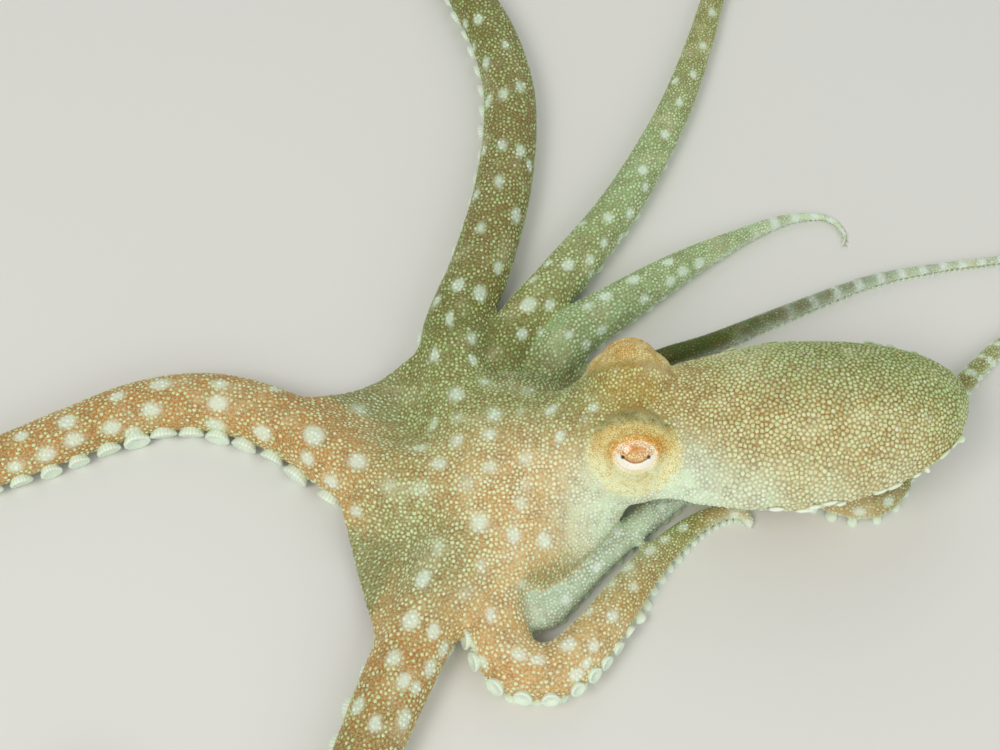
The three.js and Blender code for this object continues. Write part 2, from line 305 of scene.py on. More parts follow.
def arm_surface(arm, s, angle, depth=COAT):
    """Points on an arm's skin. Angle 0 is to its right, and a quarter turn is its back."""
    centre, side, radius = arm_frame(arm, s)
    reach = np.maximum(radius - depth, THINNEST)
    point = centre + side * (np.cos(angle) * reach)[..., None]
    point[..., 2] += np.sin(angle) * reach * ARM_HEIGHT
    point[..., 2] = np.maximum(point[..., 2], radius * UNDERSIDE)
    return point


def add_arm(bm, arm):
    def place(share, angle):
        return arm_surface(arm, lerp(STUMP_START, arm.length, share), angle)
    add_ball(bm, ARM_SIDES, round(arm.length / RING_GAP), place)


# %% [markdown]
# ## Crown, head and mantle
# The crown is the domed middle that the arms leave. The head carries two eye mounds. The mantle is
# a soft bag with a low ridge, the keel, all round its side. Each is a stretched ball, and later one
# remesh melts them together.

# %% Trunk
CROWN = {"centre": (3, 4.5, 7), "sizes": (26, 31.5, 17), "turn": 0}
HEAD = [  # the head, the brow before it, the nape behind it and the throat under it
    {"centre": (31, 10.5, 21), "sizes": (21, 18.5, 13.5), "turn": 8},
    {"centre": (16, 7.5, 15), "sizes": (20, 18, 13), "turn": 0},
    {"centre": (43, 10.5, 22.5), "sizes": (14, 18, 11.5), "turn": 0},
    {"centre": (14.5, -7, 11.5), "sizes": (24, 13, 10.5), "turn": 44},
]
EYE_MOUNDS = {
    "left": {"centre": (32.5, 4, 27), "sizes": (11, 10.5, 10.5), "turn": 0},
    "right": {"centre": (32.3, 21.5, 28), "sizes": (11.5, 10.5, 10.5), "turn": 0},
}
MANTLE_AXIS = np.array([(44, 10, 24), (85, 11, 24.5), (117.5, 23.5, 22)], float)
MANTLE_HALF = (22.2, 15.0)  # half width and half height
MANTLE_NECK = 0.76  # the height at the neck, as a share of the full height
MANTLE_RISE = 0.35  # where along the mantle the full height is reached
MANTLE_SWELL = (0.84, 0.4)  # fullness at the neck, and where along it becomes 1
MANTLE_TAPER = 0.3  # where along the rounding towards the tip starts
KEEL_HEIGHT, KEEL_SPREAD = 0.07, 0.2
CROWN_UNDERSIDE = 3.0
BALLS = {"crown": (64, 40), "head": (56, 40), "mound": (48, 32), "mantle": (64, 64),
         "siphon": (20, 24)}  # segments around, and rings


def egg_place(egg, lowest=-math.inf):
    def place(share, angle):
        ring = np.sin(share * math.pi)
        unit = np.stack([ring * np.cos(angle), ring * np.sin(angle), np.cos(share * math.pi)], -1)
        unit *= np.array(egg["sizes"]) - COAT
        c, s = math.cos(math.radians(egg["turn"])), math.sin(math.radians(egg["turn"]))
        point = np.stack([c * unit[:, 0] - s * unit[:, 1], s * unit[:, 0] + c * unit[:, 1],
                          unit[:, 2]], -1) + egg["centre"]
        point[:, 2] = np.maximum(point[:, 2], lowest)
        return point
    return place


def mantle_frame(share):
    """The mantle's axis: places, sideways directions and fullness at shares of its length."""
    t = share[..., None]
    a, b, c = MANTLE_AXIS
    centre = a * (1 - t) ** 2 + b * 2 * t * (1 - t) + c * t**2
    ahead = (b - a) * (1 - t) + (c - b) * t
    side = np.stack([-ahead[..., 1], ahead[..., 0], np.zeros_like(share)], -1)
    side /= np.linalg.norm(side, axis=-1, keepdims=True)
    swell, full_at = MANTLE_SWELL
    front = swell + (1 - swell) * np.sin(np.minimum(share / full_at, 1) * math.pi / 2)
    past = np.maximum(0, (share - MANTLE_TAPER) / (1 - MANTLE_TAPER))
    full = front * np.sqrt(np.maximum(0, 1 - past**2))
    return centre, side, full


def mantle_surface(share, angle, depth=COAT):
    """Points on the mantle. Angle 0 is its left side (from above), a quarter turn its back."""
    centre, side, full = mantle_frame(share)
    from_side = np.minimum(np.abs(angle), math.pi - np.abs(angle))
    keel = 1 + KEEL_HEIGHT * np.exp(-(from_side / KEEL_SPREAD) ** 2)
    wide = np.maximum(MANTLE_HALF[0] * full * keel - depth, 0)
    tall = lerp(MANTLE_NECK, 1, smoothstep(0, MANTLE_RISE, share))
    high = np.maximum(MANTLE_HALF[1] * full * tall - depth, 0)
    point = centre + side * (np.cos(angle) * wide)[..., None]
    point[..., 2] += np.sin(angle) * high
    return point


def mantle_place(share, angle):
    toward_tip = (1 + np.sin(-np.cos(share * math.pi) * math.pi / 2)) / 2
    point = mantle_surface(toward_tip, -angle)
    point[share < 1e-6] = MANTLE_AXIS[0]
    return point


# %% [markdown]
# ## Siphon
# The siphon is the funnel that the animal breathes out through. It shows beside the neck as a
# short soft nozzle. Its mouth is a rounded rim round a dimple, which the same ball of rings gives
# when the last rings turn inwards.

# %% Siphon
SIPHON = {"from": (42, 3, 15), "to": (52.5, -3.5, 13), "root": 4.6, "mouth": 3.0}
SIPHON_LIP, SIPHON_DIMPLE = 0.75, 0.55  # where along it turns inwards, and how far


def siphon_place(share, angle):
    root, mouth = np.array(SIPHON["from"], float), np.array(SIPHON["to"], float)
    ahead = (mouth - root) / np.linalg.norm(mouth - root)
    across = np.cross(ahead, (0, 0, 1))
    across /= np.linalg.norm(across)
    up = np.cross(across, ahead)
    out = np.minimum(share / SIPHON_LIP, 1)
    inwards = np.maximum(0, (share - SIPHON_LIP) / (1 - SIPHON_LIP))
    radius = lerp(SIPHON["root"], SIPHON["mouth"], out) * (1 - SIPHON_DIMPLE * inwards) - COAT
    radius = radius * np.minimum(1, share * 30) * (share < 1 - 1e-6)
    length = np.linalg.norm(mouth - root) * (out - 0.25 * inwards)
    return (root + ahead * length[:, None]
            + (across * np.cos(angle)[:, None] + up * np.sin(angle)[:, None]) * radius[:, None])


# %% [markdown]
# ## Webs
# A web is the skin stretched between two neighbouring arms. It is made as a grid of points, each
# laid between the centrelines of its two arms, sagging in the middle, and then given its
# thickness by the solidify operator.

# %% Webs
WEBS = [
    {"arms": ("left_3", "left_2"), "reach": (42, 46), "draw": 0.1},
    {"arms": ("left_2", "left_1"), "reach": (58, 49), "draw": -0.02},
    {"arms": ("left_1", "right_1"), "reach": (68, 52), "draw": 0.05},
    {"arms": ("right_3", "right_4"), "reach": (56, 54), "draw": 0.1},
]
WEB_START, WEB_SAG, WEB_THICKNESS = 6.0, 0.68, 2.2
WEB_ATTACH = 0.8  # how far above an arm's centre its webs spring, in half heights
WEB_CELLS = 24


def web_point(web, across, out):
    slack = 4 * across * (1 - across) * out
    ends = []
    for name, reach in zip(web["arms"], web["reach"]):
        s = lerp(WEB_START, reach * (1 - web["draw"] * slack), out)
        centre, _, radius = arm_frame(arms[name], s)
        centre[:, 2] += WEB_ATTACH * radius * ARM_HEIGHT
        ends.append(centre)
    point = lerp(ends[0], ends[1], across[:, None])
    sag = WEB_SAG * np.sin(math.pi * across) ** 2 * out
    point[:, 2] = np.maximum(WEB_THICKNESS / 2, point[:, 2] * (1 - sag))
    return point


def add_web(bm, web):
    made = bmesh.ops.create_grid(bm, x_segments=WEB_CELLS, y_segments=WEB_CELLS, size=0.5)["verts"]
    flat = np.array([v.co for v in made]) + 0.5
    for vert, spot in zip(made, web_point(web, flat[:, 0], flat[:, 1])):
        vert.co = spot
    sheet = list({face for vert in made for face in vert.link_faces})
    bmesh.ops.solidify(bm, geom=sheet, thickness=WEB_THICKNESS - 2 * COAT)


def new_mesh(name, bm):
    mesh = bpy.data.meshes.new(name)
    bm.to_mesh(mesh)
    bm.free()
    return mesh


flesh = bmesh.new()
for arm in arms.values():
    add_arm(flesh, arm)
add_ball(flesh, *BALLS["crown"], egg_place(CROWN, CROWN_UNDERSIDE))
for part in HEAD:
    add_ball(flesh, *BALLS["head"], egg_place(part))
for mound in EYE_MOUNDS.values():
    add_ball(flesh, *BALLS["mound"], egg_place(mound))
add_ball(flesh, *BALLS["mantle"], mantle_place)
add_ball(flesh, *BALLS["siphon"], siphon_place)
for web in WEBS:
    add_web(flesh, web)
print("flesh before melting:", len(flesh.faces), "faces")

# %% [markdown]
# ## Where the eyes look
# Each eye is a ball in its mound, with a line of sight up and out to its own side. Three directions
# at the ball's centre, along the slit, across it and of sight, place all that belongs to the eye.

# %% Eye frames
EYE_RADIUS = 7.2
EYE_DEPTH = 0.2  # how far the ball stands out of its mound
EYE_TILT = {"left": math.radians(50), "right": math.radians(40)}
LOOK_TILT = {"left": math.radians(50), "right": math.radians(3)}
EYE_OPEN = (math.radians(41), math.radians(29))  # half angles of the opening, along and across
EYE_SIDES = {"left": -1, "right": 1}


def eye_frame(side):
    """The ball's centre, then its directions along the opening, across it, and of sight."""
    toward, tilt, look = EYE_SIDES[side], EYE_TILT[side], LOOK_TILT[side]
    outward = np.array([0, toward * math.cos(tilt), math.sin(tilt)])
    gaze = np.array([0, toward * math.cos(look), math.sin(look)])
    across = np.array([0, -toward * math.sin(look), math.cos(look)])
    mound = EYE_MOUNDS[side]
    centre = np.array(mound["centre"]) + outward * (mound["sizes"][2] + EYE_DEPTH - EYE_RADIUS)
    return centre, np.array([1.0, 0, 0]), across, gaze


def eye_polar(points, side):
    """How far points are from the ball's centre, their angle off the line of sight, that angle as
    a share of the opening, and how far up they lie, from -1 to 1."""
    centre, along, across, gaze = eye_frame(side)
    out = points - centre
    far = np.linalg.norm(out, axis=1)
    off = np.arccos(np.clip(out @ gaze / np.maximum(far, 1e-6), -1, 1))
    turn = np.arctan2(out @ across, out @ along)
    rim = 1 / np.hypot(np.cos(turn) / EYE_OPEN[0], np.sin(turn) / EYE_OPEN[1])
    return far, off, off / rim, np.sin(turn)


# %% [markdown]
# ## One skin
# All the flesh is one closed surface, as real skin is. A voxel remesh melts the forms together,
# and the Smooth modifier, held by a vertex group, softens the creases where arms and webs meet
# the crown but leaves thin arms alone. Smoothing everything alike would shrink the tips away.

# %% Melt and smooth
VOXEL = 0.72


def add_piece(name, mesh, nodes=()):
    piece = bpy.data.objects.new(name, mesh)
    bpy.context.scene.collection.objects.link(piece)
    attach(piece, "root")
    if nodes:
        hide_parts(*nodes)
    return piece


def apply_modifiers(piece):
    for other in bpy.context.selected_objects:
        other.select_set(False)
    bpy.context.view_layer.objects.active = piece
    for modifier in list(piece.modifiers):
        bpy.ops.object.modifier_apply(modifier=modifier.name)


def points_of(mesh):
    points = np.empty(len(mesh.vertices) * 3, np.float32)
    mesh.vertices.foreach_get("co", points)
    return points.reshape(-1, 3).astype(float)


def move_points(mesh, points):
    mesh.vertices.foreach_set("co", np.asarray(points, np.float32).ravel())
    mesh.update()


def set_weights(piece, name, weights):
    """A vertex group from an array, in ten steps, because a group is filled one weight a call."""
    group = piece.vertex_groups.new(name=name)
    steps = np.round(weights * 10).astype(int)
    for step in range(1, 11):
        group.add(np.flatnonzero(steps == step).tolist(), step / 10, "REPLACE")


flesh_nodes = [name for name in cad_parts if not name.startswith("eye_")]
skin = add_piece("skin", new_mesh("skin", flesh), flesh_nodes)
remesh = skin.modifiers.new("melt", "REMESH")
remesh.mode = "VOXEL"
remesh.voxel_size = VOXEL
apply_modifiers(skin)
print("skin after melting:", len(skin.data.polygons), "faces")

# %% Where the skin softens
ARM_FIRM, ARM_FIRM_FROM = 0.85, (34, 66)  # how firm the arms are, and where from the mouth
NECK_FROM, NECK_TO, NECK_HEIGHT = (36, 44), (56, 70), 12  # the neck is slack above this height
EYE_FIRM, EYE_FIRM_TO = 0.8, (9, 14)  # how firm the skin is near an eye, and how far out


def soften(piece, name, weights, turns):
    """Smooths a piece as far as its weights, from 0 to 1, allow."""
    set_weights(piece, name, weights)
    smooth = piece.modifiers.new(name, "SMOOTH")
    smooth.vertex_group = name
    smooth.factor = 0.5
    smooth.iterations = turns
    apply_modifiers(piece)


points = points_of(skin.data)
from_mouth = np.linalg.norm(points[:, :2] - CROWN["centre"][:2], axis=1)
slack = 1 - ARM_FIRM * smoothstep(*ARM_FIRM_FROM, from_mouth)
neck = smoothstep(*NECK_FROM, points[:, 0]) * (1 - smoothstep(*NECK_TO, points[:, 0]))
slack = np.maximum(slack, neck * (points[:, 2] > NECK_HEIGHT))
for side in EYE_SIDES:
    from_eye = np.linalg.norm(points - eye_frame(side)[0], axis=1)
    slack *= 1 - EYE_FIRM * (1 - smoothstep(*EYE_FIRM_TO, from_eye))
soften(skin, "slack", slack, 70)
print("slack points:", int((slack > 0.5).sum()))

# %% [markdown]
# ## Eyes and lids
# An octopus eye is a firm ball that swells the skin over it. The skin opens in a flat ellipse with
# a thick rim, a fold lies over it, and a smooth swollen ring surrounds both. These lids are shaped
# in directions from the ball's centre: how far a point lies from the line of sight, as a share of
# the opening, decides how high the skin stands there. The mesh is made finer here first.

# %% Finer mesh round the eyes
LID_ZONE = math.radians(100)
LID_REACH = 12.5
FINE_LEVELS, FINE_SHRINK = 2, 0.28  # the second level is finer in a smaller zone


def near_eyes(points, zone, reach):
    near = np.zeros(len(points), bool)
    for side in EYE_SIDES:
        far, off, _, _ = eye_polar(points, side)
        near |= (off < zone) & (far < reach)
    return near


bm = bmesh.new()
bm.from_mesh(skin.data)
for level in range(FINE_LEVELS):
    bm.verts.ensure_lookup_table()
    zone = LID_ZONE * (1 - FINE_SHRINK * level)
    near = near_eyes(np.array([v.co for v in bm.verts]), zone, LID_REACH)
    edges = [e for e in bm.edges if near[e.verts[0].index] and near[e.verts[1].index]]
    bmesh.ops.subdivide_edges(bm, edges=edges, cuts=1, use_grid_fill=True, smooth=1.0)
    bm.verts.index_update()
bmesh.ops.triangulate(bm, faces=[f for f in bm.faces if len(f.verts) > 4])
bm.to_mesh(skin.data)
bm.free()
print("skin with fine lids:", len(skin.data.polygons), "faces")

# %% Lids
LID_PROFILE = np.array([  # share of the opening, height over the ball's centre
    (0.0, 6.5), (0.84, 6.5), (0.93, 6.75), (0.985, 7.42), (1.04, 7.78), (1.12, 7.92),
    (1.24, 7.86), (1.4, 7.92), (1.7, 8.3), (2.0, 8.8),
])
LID_BLEND = (1.3, 1.9)  # from the lid's own height to the mound's
LID_THINNEST = 7.75
LID_EDGE = math.radians(118)
FOLD, GROOVE = (1.34, 0.16, 0.35), (1.62, 0.12, -0.3)  # share of the opening, half width, height
RING = (math.radians(80), 0.22, 0.35)  # angle off the line of sight, half width, height


def swelling(x, middle, half, height):
    return height * np.exp(-((x - middle) / half) ** 2)


def shape_lids(points):
    for side in EYE_SIDES:
        centre = eye_frame(side)[0]
        far, off, share, upward = eye_polar(points, side)
        lid = np.interp(share, LID_PROFILE[:, 0], LID_PROFILE[:, 1])
        lid += swelling(share, *FOLD) * np.maximum(upward, 0)
        height = lerp(lid, far, smoothstep(*LID_BLEND, share)) + swelling(off, *RING)
        height += swelling(share, *GROOVE) * (0.4 + 0.6 * np.maximum(upward, 0))
        height = np.where(share > 1.03, np.maximum(height, LID_THINNEST), height)
        near = (off < LID_EDGE) & (far < LID_REACH)
        scale = np.where(near, height / np.maximum(far, 1e-6), 1)[:, None]
        points = centre + (points - centre) * scale
    return points


move_points(skin.data, shape_lids(points_of(skin.data)))
soften(skin, "lids", near_eyes(points_of(skin.data), LID_ZONE * 0.8, LID_REACH) * 1.0, 2)
print("lids shaped:", ", ".join(EYE_SIDES))

# %% [markdown]
# ## A lighter mesh
# The melted skin has far more faces than its flat stretches need. Decimate collapses those and
# keeps the curved places, so the finished skin stays well under two hundred thousand triangles.

# %% Fewer faces
SKIN_TRIANGLES = 188_000


def thin_out(piece, triangles):
    now = sum(len(p.vertices) - 2 for p in piece.data.polygons)
    if now > triangles:
        fewer = piece.modifiers.new("fewer", "DECIMATE")
        fewer.ratio = triangles / now
        fewer.use_collapse_triangulate = True
        apply_modifiers(piece)


thin_out(skin, SKIN_TRIANGLES)
print("finished skin:", len(skin.data.polygons), "triangles")

# %% [markdown]
# ## Where a point lies on the animal
# Markings follow the body: along an arm, round it, over the crown or out from an eye. This survey
# finds, for any points near the skin, the nearest arm with the distance along it and the angle
# round it, and how much the point belongs to each region. Skin, granules and suckers all ask the
# same survey, so their markings meet.

# %% Survey
ARM_NAMES = list(arms)
SAMPLE_GAP = 0.75
MANTLE_FROM, MANTLE_OVER = (44, 56), (8.5, 12)  # along x, and heights above the arms under it
MANTLE_LINE, MANTLE_REACH = ([44, 85, 120], [10, 12, 24]), 26  # its middle on the ground plan
HEAD_FROM, HEAD_OVER, HEAD_TO = (14, 26), (10, 14), 66
CROWN_TO = (26, 40)  # from the mouth


def centreline_samples():
    rows = []
    for index, arm in enumerate(arms.values()):
        s = np.arange(STUMP_START, arm.length, SAMPLE_GAP)
        centre, side, radius = arm_frame(arm, s)
        rows.append(np.column_stack([centre, side[:, :2], radius, s, np.full(len(s), index)]))
    return np.concatenate(rows)


def tree_of(points):
    tree = KDTree(len(points))
    for index, point in enumerate(points):
        tree.insert(point, index)
    tree.balance()
    return tree


samples = centreline_samples()
sample_tree = tree_of(samples[:, :3])


def from_mouth_to(points):
    """Distances over the ground from the crown's middle."""
    return np.hypot(points[:, 0] - CROWN["centre"][0], points[:, 1] - CROWN["centre"][1])


def survey(points):
    """Arm index, distance along, angle round from the back, distance off in half widths, and the
    weights of mantle, head and crown, for every point."""
    nearest = samples[[sample_tree.find(p)[1] for p in points]]
    off = points - nearest[:, :3]
    lateral = off[:, 0] * nearest[:, 3] + off[:, 1] * nearest[:, 4]
    ahead = off[:, 1] * nearest[:, 3] - off[:, 0] * nearest[:, 4]
    round_ = np.arctan2(lateral, off[:, 2] / ARM_HEIGHT)
    share = np.hypot(lateral, off[:, 2] / ARM_HEIGHT) / nearest[:, 5]
    x, y, z = points.T
    mantle = smoothstep(*MANTLE_FROM, x) * smoothstep(*MANTLE_OVER, z)
    mantle *= (np.abs(y - np.interp(x, *MANTLE_LINE)) < MANTLE_REACH)
    head = smoothstep(*HEAD_FROM, x) * (1 - mantle) * smoothstep(*HEAD_OVER, z) * (x < HEAD_TO)
    crown = (1 - smoothstep(*CROWN_TO, from_mouth_to(points))) * (1 - head)
    return {"arm": nearest[:, 7].astype(int), "along": nearest[:, 6] + ahead, "round": round_,
            "radius": nearest[:, 5], "off": share, "mantle": mantle, "head": head, "crown": crown}


points = points_of(skin.data)
skin_survey = survey(points)
print("points surveyed:", len(points))

# %% [markdown]
# ## Skin tones
# Octopus skin is a mosaic: pale raised granules in darker grooves. Each tone below is a pair of
# colours, one for grooves and one for granules. The animal carries many tones at once, rusty on the
# front arms, straw on the mantle, green and mint on the arms behind, and they fade into one
# another, so each point takes a weighted mix of the tones that are near.

# %% Tone pairs
def linear(*rgb):
    """A screen colour from 0 to 255 as the linear values that shaders use."""
    c = np.array(rgb, float) / 255
    return np.where(c <= 0.04045, c / 12.92, ((c + 0.055) / 1.055) ** 2.4)


TONES = {name: (linear(*groove), linear(*granule)) for name, groove, granule in (
    ("rust", (190, 116, 18), (224, 242, 184)),
    ("peach", (208, 144, 54), (242, 250, 206)),
    ("cream", (214, 170, 94), (248, 254, 218)),
    ("straw", (172, 124, 42), (232, 240, 182)),
    ("sage", (134, 122, 54), (204, 232, 162)),
    ("olive", (108, 96, 32), (172, 206, 128)),
    ("bark", (126, 90, 30), (178, 212, 140)),
    # painted shade: a dark olive for the hollow behind the crown's far edge, where right arms 2 and
    # 3 start
    ("painted_hollow_shade", (80, 78, 26), (134, 156, 90)),
    ("moss", (58, 72, 4), (96, 124, 34)),
    ("sea", (184, 204, 172), (236, 254, 236)),
    ("mint", (142, 164, 98), (214, 244, 198)),
    ("pearl", (224, 250, 212), (248, 255, 246)),
    ("veil", (134, 122, 52), (224, 246, 196)),
    ("amber", (172, 128, 38), (218, 224, 142)),
)}
TONE_NAMES = list(TONES)
ARM_TONES = {  # distance from the mouth, then tone
    "left_1": [(25, "peach"), (55, "rust"), (150, "rust"), (190, "bark"), (260, "sage")],
    "left_2": [(25, "cream"), (50, "rust"), (100, "bark"), (150, "rust"), (240, "sage")],
    "left_3": [(25, "cream"), (45, "peach"), (66, "cream"), (86, "straw"), (106, "sage"),
               (124, "peach")],
    "left_4": [(15, "sea"), (32, "sea"), (100, "sea"), (124, "cream"), (150, "bark"),
               (220, "sage")],
    "right_1": [(30, "sage"), (50, "olive"), (80, "bark"), (130, "bark"), (180, "olive"),
                (260, "sage")],
    # right arms 2 and 3 start in painted shade, the hollow behind the crown's far edge
    "right_2": [(28, "painted_hollow_shade"), (46, "olive"), (56, "sage"), (110, "mint"), (170, "sage"),
                (250, "sage")],
    "right_3": [(28, "painted_hollow_shade"), (44, "mint"), (62, "mint"), (90, "mint"), (125, "mint")],
    "right_4": [(10, "moss"), (130, "moss"), (190, "sage")],
}
BODY_TONES = [  # place on the ground plan, reach, strength, tone
    (-12, -2, 17, 1.0, "peach"), (8, -12, 16, 1.0, "peach"), (6, 4, 12, 1.1, "cream"),
    (-14, 22, 17, 1.2, "sage"), (-26, 24, 12, 1.0, "olive"), (4, 26, 13, 1.0, "olive"),
    (-26, -12, 15, 1.0, "sage"), (-16, -24, 12, 0.7, "bark"), (0, -34, 12, 1.0, "cream"),
    (24, -12, 9, 2.2, "pearl"), (14, -24, 9, 1.2, "cream"), (44, -8, 8, 3.2, "pearl"),
    (17, 16, 11, 1.0, "sage"), (30, 13, 7, 1.6, "amber"), (31, 20, 7, 1.2, "amber"),
    (50, 12, 13, 1.0, "straw"), (66, 6, 17, 1.2, "straw"), (84, 6, 16, 1.2, "straw"),
    (64, 27, 11, 1.6, "sage"), (84, 30, 12, 3.4, "olive"), (104, 31, 12, 2.8, "olive"),
    (76, 22, 9, 1.0, "sage"), (94, 22, 9, 1.0, "sage"),
    (112, 18, 12, 1.0, "sage"), (98, 6, 12, 1.0, "straw"), (80, -10, 7, 0.5, "pearl"),
    (62, -11, 7, 1.0, "pearl"), (98, -5, 7, 0.4, "pearl"), (118, 24, 9, 0.8, "olive"),
]


# %% Tones at points
VEIL_SHARE = 0.75  # how much of a web has the webs' own tone
VEILS = [  # where that tone runs up between the front arms: place, reach, strength
    (-27, -14, 12, 0.85), (-20, -23, 10, 0.75), (-31, 26, 11, 0.4), (-24, 17, 9, 0.3),
    (-16, -17, 8, 0.5),
]
BEHIND_HEIGHT, BEHIND_OFF = 12.0, 1.2  # up to here left arm 4 keeps its own tones near the crown
BODY_TO, VEIL_FROM = (24, 46), (24, 32)  # from the mouth
WEB_FROM, WEB_TO = (1.15, 1.6), (50, 80)  # half widths off an arm, and from the mouth
UNDERSIDE_TO, UNDERSIDE_PALE = (1.5, 5.0), 0.75  # heights, and the share of pearl below them


def arm_tone_weights(found):
    weights = np.zeros((len(found["along"]), len(TONES)))
    for index, name in enumerate(ARM_NAMES):
        here = found["arm"] == index
        stops = ARM_TONES[name]
        keys = [s for s, _ in stops]
        for stop, (s, tone) in enumerate(stops):
            hat = np.interp(found["along"][here], keys, np.arange(len(keys)) == stop)
            weights[here, TONE_NAMES.index(tone)] += hat
    return weights


def body_tone_weights(points):
    weights = np.full((len(points), len(TONES)), 1e-9)
    for x, y, reach, strength, tone in BODY_TONES:
        far = np.hypot(points[:, 0] - x, points[:, 1] - y) / reach
        weights[:, TONE_NAMES.index(tone)] += strength * np.exp(-far**2)
    return weights / weights.sum(axis=1, keepdims=True)


def tones_at(points, found):
    """The groove colour and the granule colour at every point."""
    from_mouth = from_mouth_to(points)
    trunk = np.minimum(found["mantle"] + found["head"], 1)
    body = np.maximum(1 - smoothstep(*BODY_TO, from_mouth), trunk)
    behind = (found["arm"] == ARM_NAMES.index("left_4")) & (found["off"] < BEHIND_OFF)
    body = np.where(behind & (points[:, 2] < BEHIND_HEIGHT), 0.0, body)
    web = smoothstep(*WEB_FROM, found["off"]) * (1 - smoothstep(*WEB_TO, from_mouth))
    web *= 1 - trunk
    body = np.maximum(body, web)[:, None]
    weights = body * body_tone_weights(points) + (1 - body) * arm_tone_weights(found)
    veil = VEIL_SHARE * web * smoothstep(*VEIL_FROM, from_mouth)
    for x, y, reach, strength in VEILS:
        far = np.hypot(points[:, 0] - x, points[:, 1] - y) / reach
        veil = np.maximum(veil, strength * np.exp(-far**2))
    veil = veil[:, None]
    weights = (1 - veil) * weights / weights.sum(axis=1, keepdims=True)
    weights[:, TONE_NAMES.index("veil")] += veil[:, 0]
    under = (1 - smoothstep(*UNDERSIDE_TO, points[:, 2])) * (1 - found["mantle"])
    weights *= (1 - UNDERSIDE_PALE * under)[:, None]
    weights[:, TONE_NAMES.index("pearl")] += UNDERSIDE_PALE * under
    weights /= weights.sum(axis=1, keepdims=True)
    grooves, granules = (weights @ np.array([TONES[n][i] for n in TONE_NAMES]) for i in (0, 1))
    return grooves, granules


# %% [markdown]
# ## White spots
# Pairs of white spots run down every arm and over the crown, and on the thin ends of the arms they
# join into pale bands. A spot is a place on the skin and a reach. The mask that it paints is soft
# at its edge, and the material breaks that edge up into grains. Weak pale patches without order
# cloud the crown, head and mantle.

# %% Spot places
ARM_SPOTS = {  # distance from the mouth, degrees round from the back, size
    "left_1": [(36, -10, 38), (40, -60, 25), (48, -50, 24), (50, -10, 39), (64, -55, 31),
               (67, 45, 21), (79, -75, 34), (79, -25, 33), (80, 15, 26), (95, 20, 33),
               (98, -35, 33), (105, -80, 26), (106, 15, 24), (110, -50, 30), (120, -45, 35),
               (120, 0, 28), (128, -55, 36), (132, 10, 19), (136, -55, 24)],
    "left_2": [(32, 25, 28), (42, -30, 21), (42, 10, 31), (44, -65, 26), (50, -55, 29),
               (52, 10, 31), (56, -45, 17), (56, -20, 21), (64, -50, 33), (65, 40, 27),
               (68, -5, 25)],
    "left_3": [(34, 10, 19), (39, 70, 24), (42, 60, 19), (46, -5, 27), (51, -5, 20),
               (58, 45, 23), (61, -20, 22), (61, 40, 16), (65, 25, 17), (72, -45, 16),
               (74, 15, 18), (82, -50, 18), (84, 15, 14), (88, -45, 21), (95, -25, 21),
               (100, -20, 18), (106, -10, 16)],
    "left_4": [(40, 30, 14), (52, 30, 12), (62, -15, 11), (76, 20, 11), (106, 40, 17),
               (112, 55, 15), (117, 30, 20), (123, 60, 17), (128, 35, 22), (134, 60, 16),
               (140, 40, 18)],
    "right_1": [(38, 35, 16), (40, -30, 20), (46, 35, 22), (48, -85, 16), (51, -10, 15),
                (57, -50, 26), (62, -15, 24), (62, 30, 27), (72, 45, 19), (82, -15, 23),
                (90, 50, 32), (95, -55, 21), (99, -5, 24), (108, 60, 19), (111, 30, 22),
                (112, -60, 21), (112, -10, 25), (131, -60, 26), (131, -15, 23), (134, 25, 24),
                (146, -50, 23), (150, 10, 17), (156, -80, 16), (163, -30, 18), (166, -75, 18)],
    "right_2": [(48, 25, 18), (52, 65, 17), (57, 0, 29), (61, 40, 18), (65, -40, 19),
                (72, -40, 15), (74, 10, 22), (78, 80, 20), (80, 45, 18), (87, 45, 15),
                (89, -45, 15), (93, 90, 20), (94, 10, 20), (100, 55, 21), (110, 50, 13),
                (114, 15, 15), (129, 20, 17), (142, 15, 16), (150, -35, 12), (154, 25, 13),
                (166, 25, 13), (180, 20, 18)],
    "right_3": [(50, 10, 15), (52, 60, 15), (59, 55, 16), (60, -15, 21), (66, -15, 20),
                (75, 50, 18), (76, -20, 22), (85, 50, 20), (88, -15, 15), (90, 45, 23),
                (96, 50, 19)],
    "right_4": [],
}
CROWN_SPOTS = [  # place on the ground plan, size
    (-37, 25, 30), (-36, -6, 17), (-28, -2, 38), (-20, 10, 17), (-19, -4, 33), (-18, 17, 20),
    (-16, -18, 26), (-16, 3, 19), (-12, 9, 24), (-11, 17, 22), (-11, 25, 27), (-9, -3, 30),
    (-8, -30, 24), (-5, -14, 25), (-4, -23, 17), (-4, 29, 21), (-3, 1, 21), (-1, 16, 29),
    (-2, 11, 16), (4, -17, 23), (5, -9, 18), (5, 17, 18), (6, -27, 17), (6, -5, 20), (6, 1, 21),
    (7, 25, 28), (11, -18, 18), (12, 15, 17), (14, 6, 14), (20, -4, 14), (22, 12, 12), (66, 5, 10),
    (52, 0, 12), (75, -9, 13), (92, -3, 12), (84, 10, 10),
]
FIRST_SPOTS = {"left_1": 145, "left_2": 80, "right_1": 178, "right_2": 195, "left_4": 150}
SPOT_GAP, SPOTS_END = 1.95, 30  # half widths from row to row, and the bare stretch at the tip
SPOT_ROUND = (-70, -22, 22, 70)
SPOT_SHIFT, SPOT_SWAY, SPOT_SIZES = 0.35, 9, (1.6, 3.0)  # half widths, degrees, half widths
SPOT_REACH, CROWN_REACH = (0.7, 0.045), (0.9, 0.06)  # millimetres, and more with the size
SPOT_STRENGTH, CROWN_STRENGTH, MANTLE_STRENGTH = (0.9, 1.35), (0.5, 0.95), (0.3, 0.5)
SPOT_STRETCH = 1.2  # a spot is this much longer than wide
UNPLACED = 100.0  # the height of a spot that has yet to be dropped onto the skin
DROP_WIDTH, DROP_HEIGHT = 1.2, 60.0
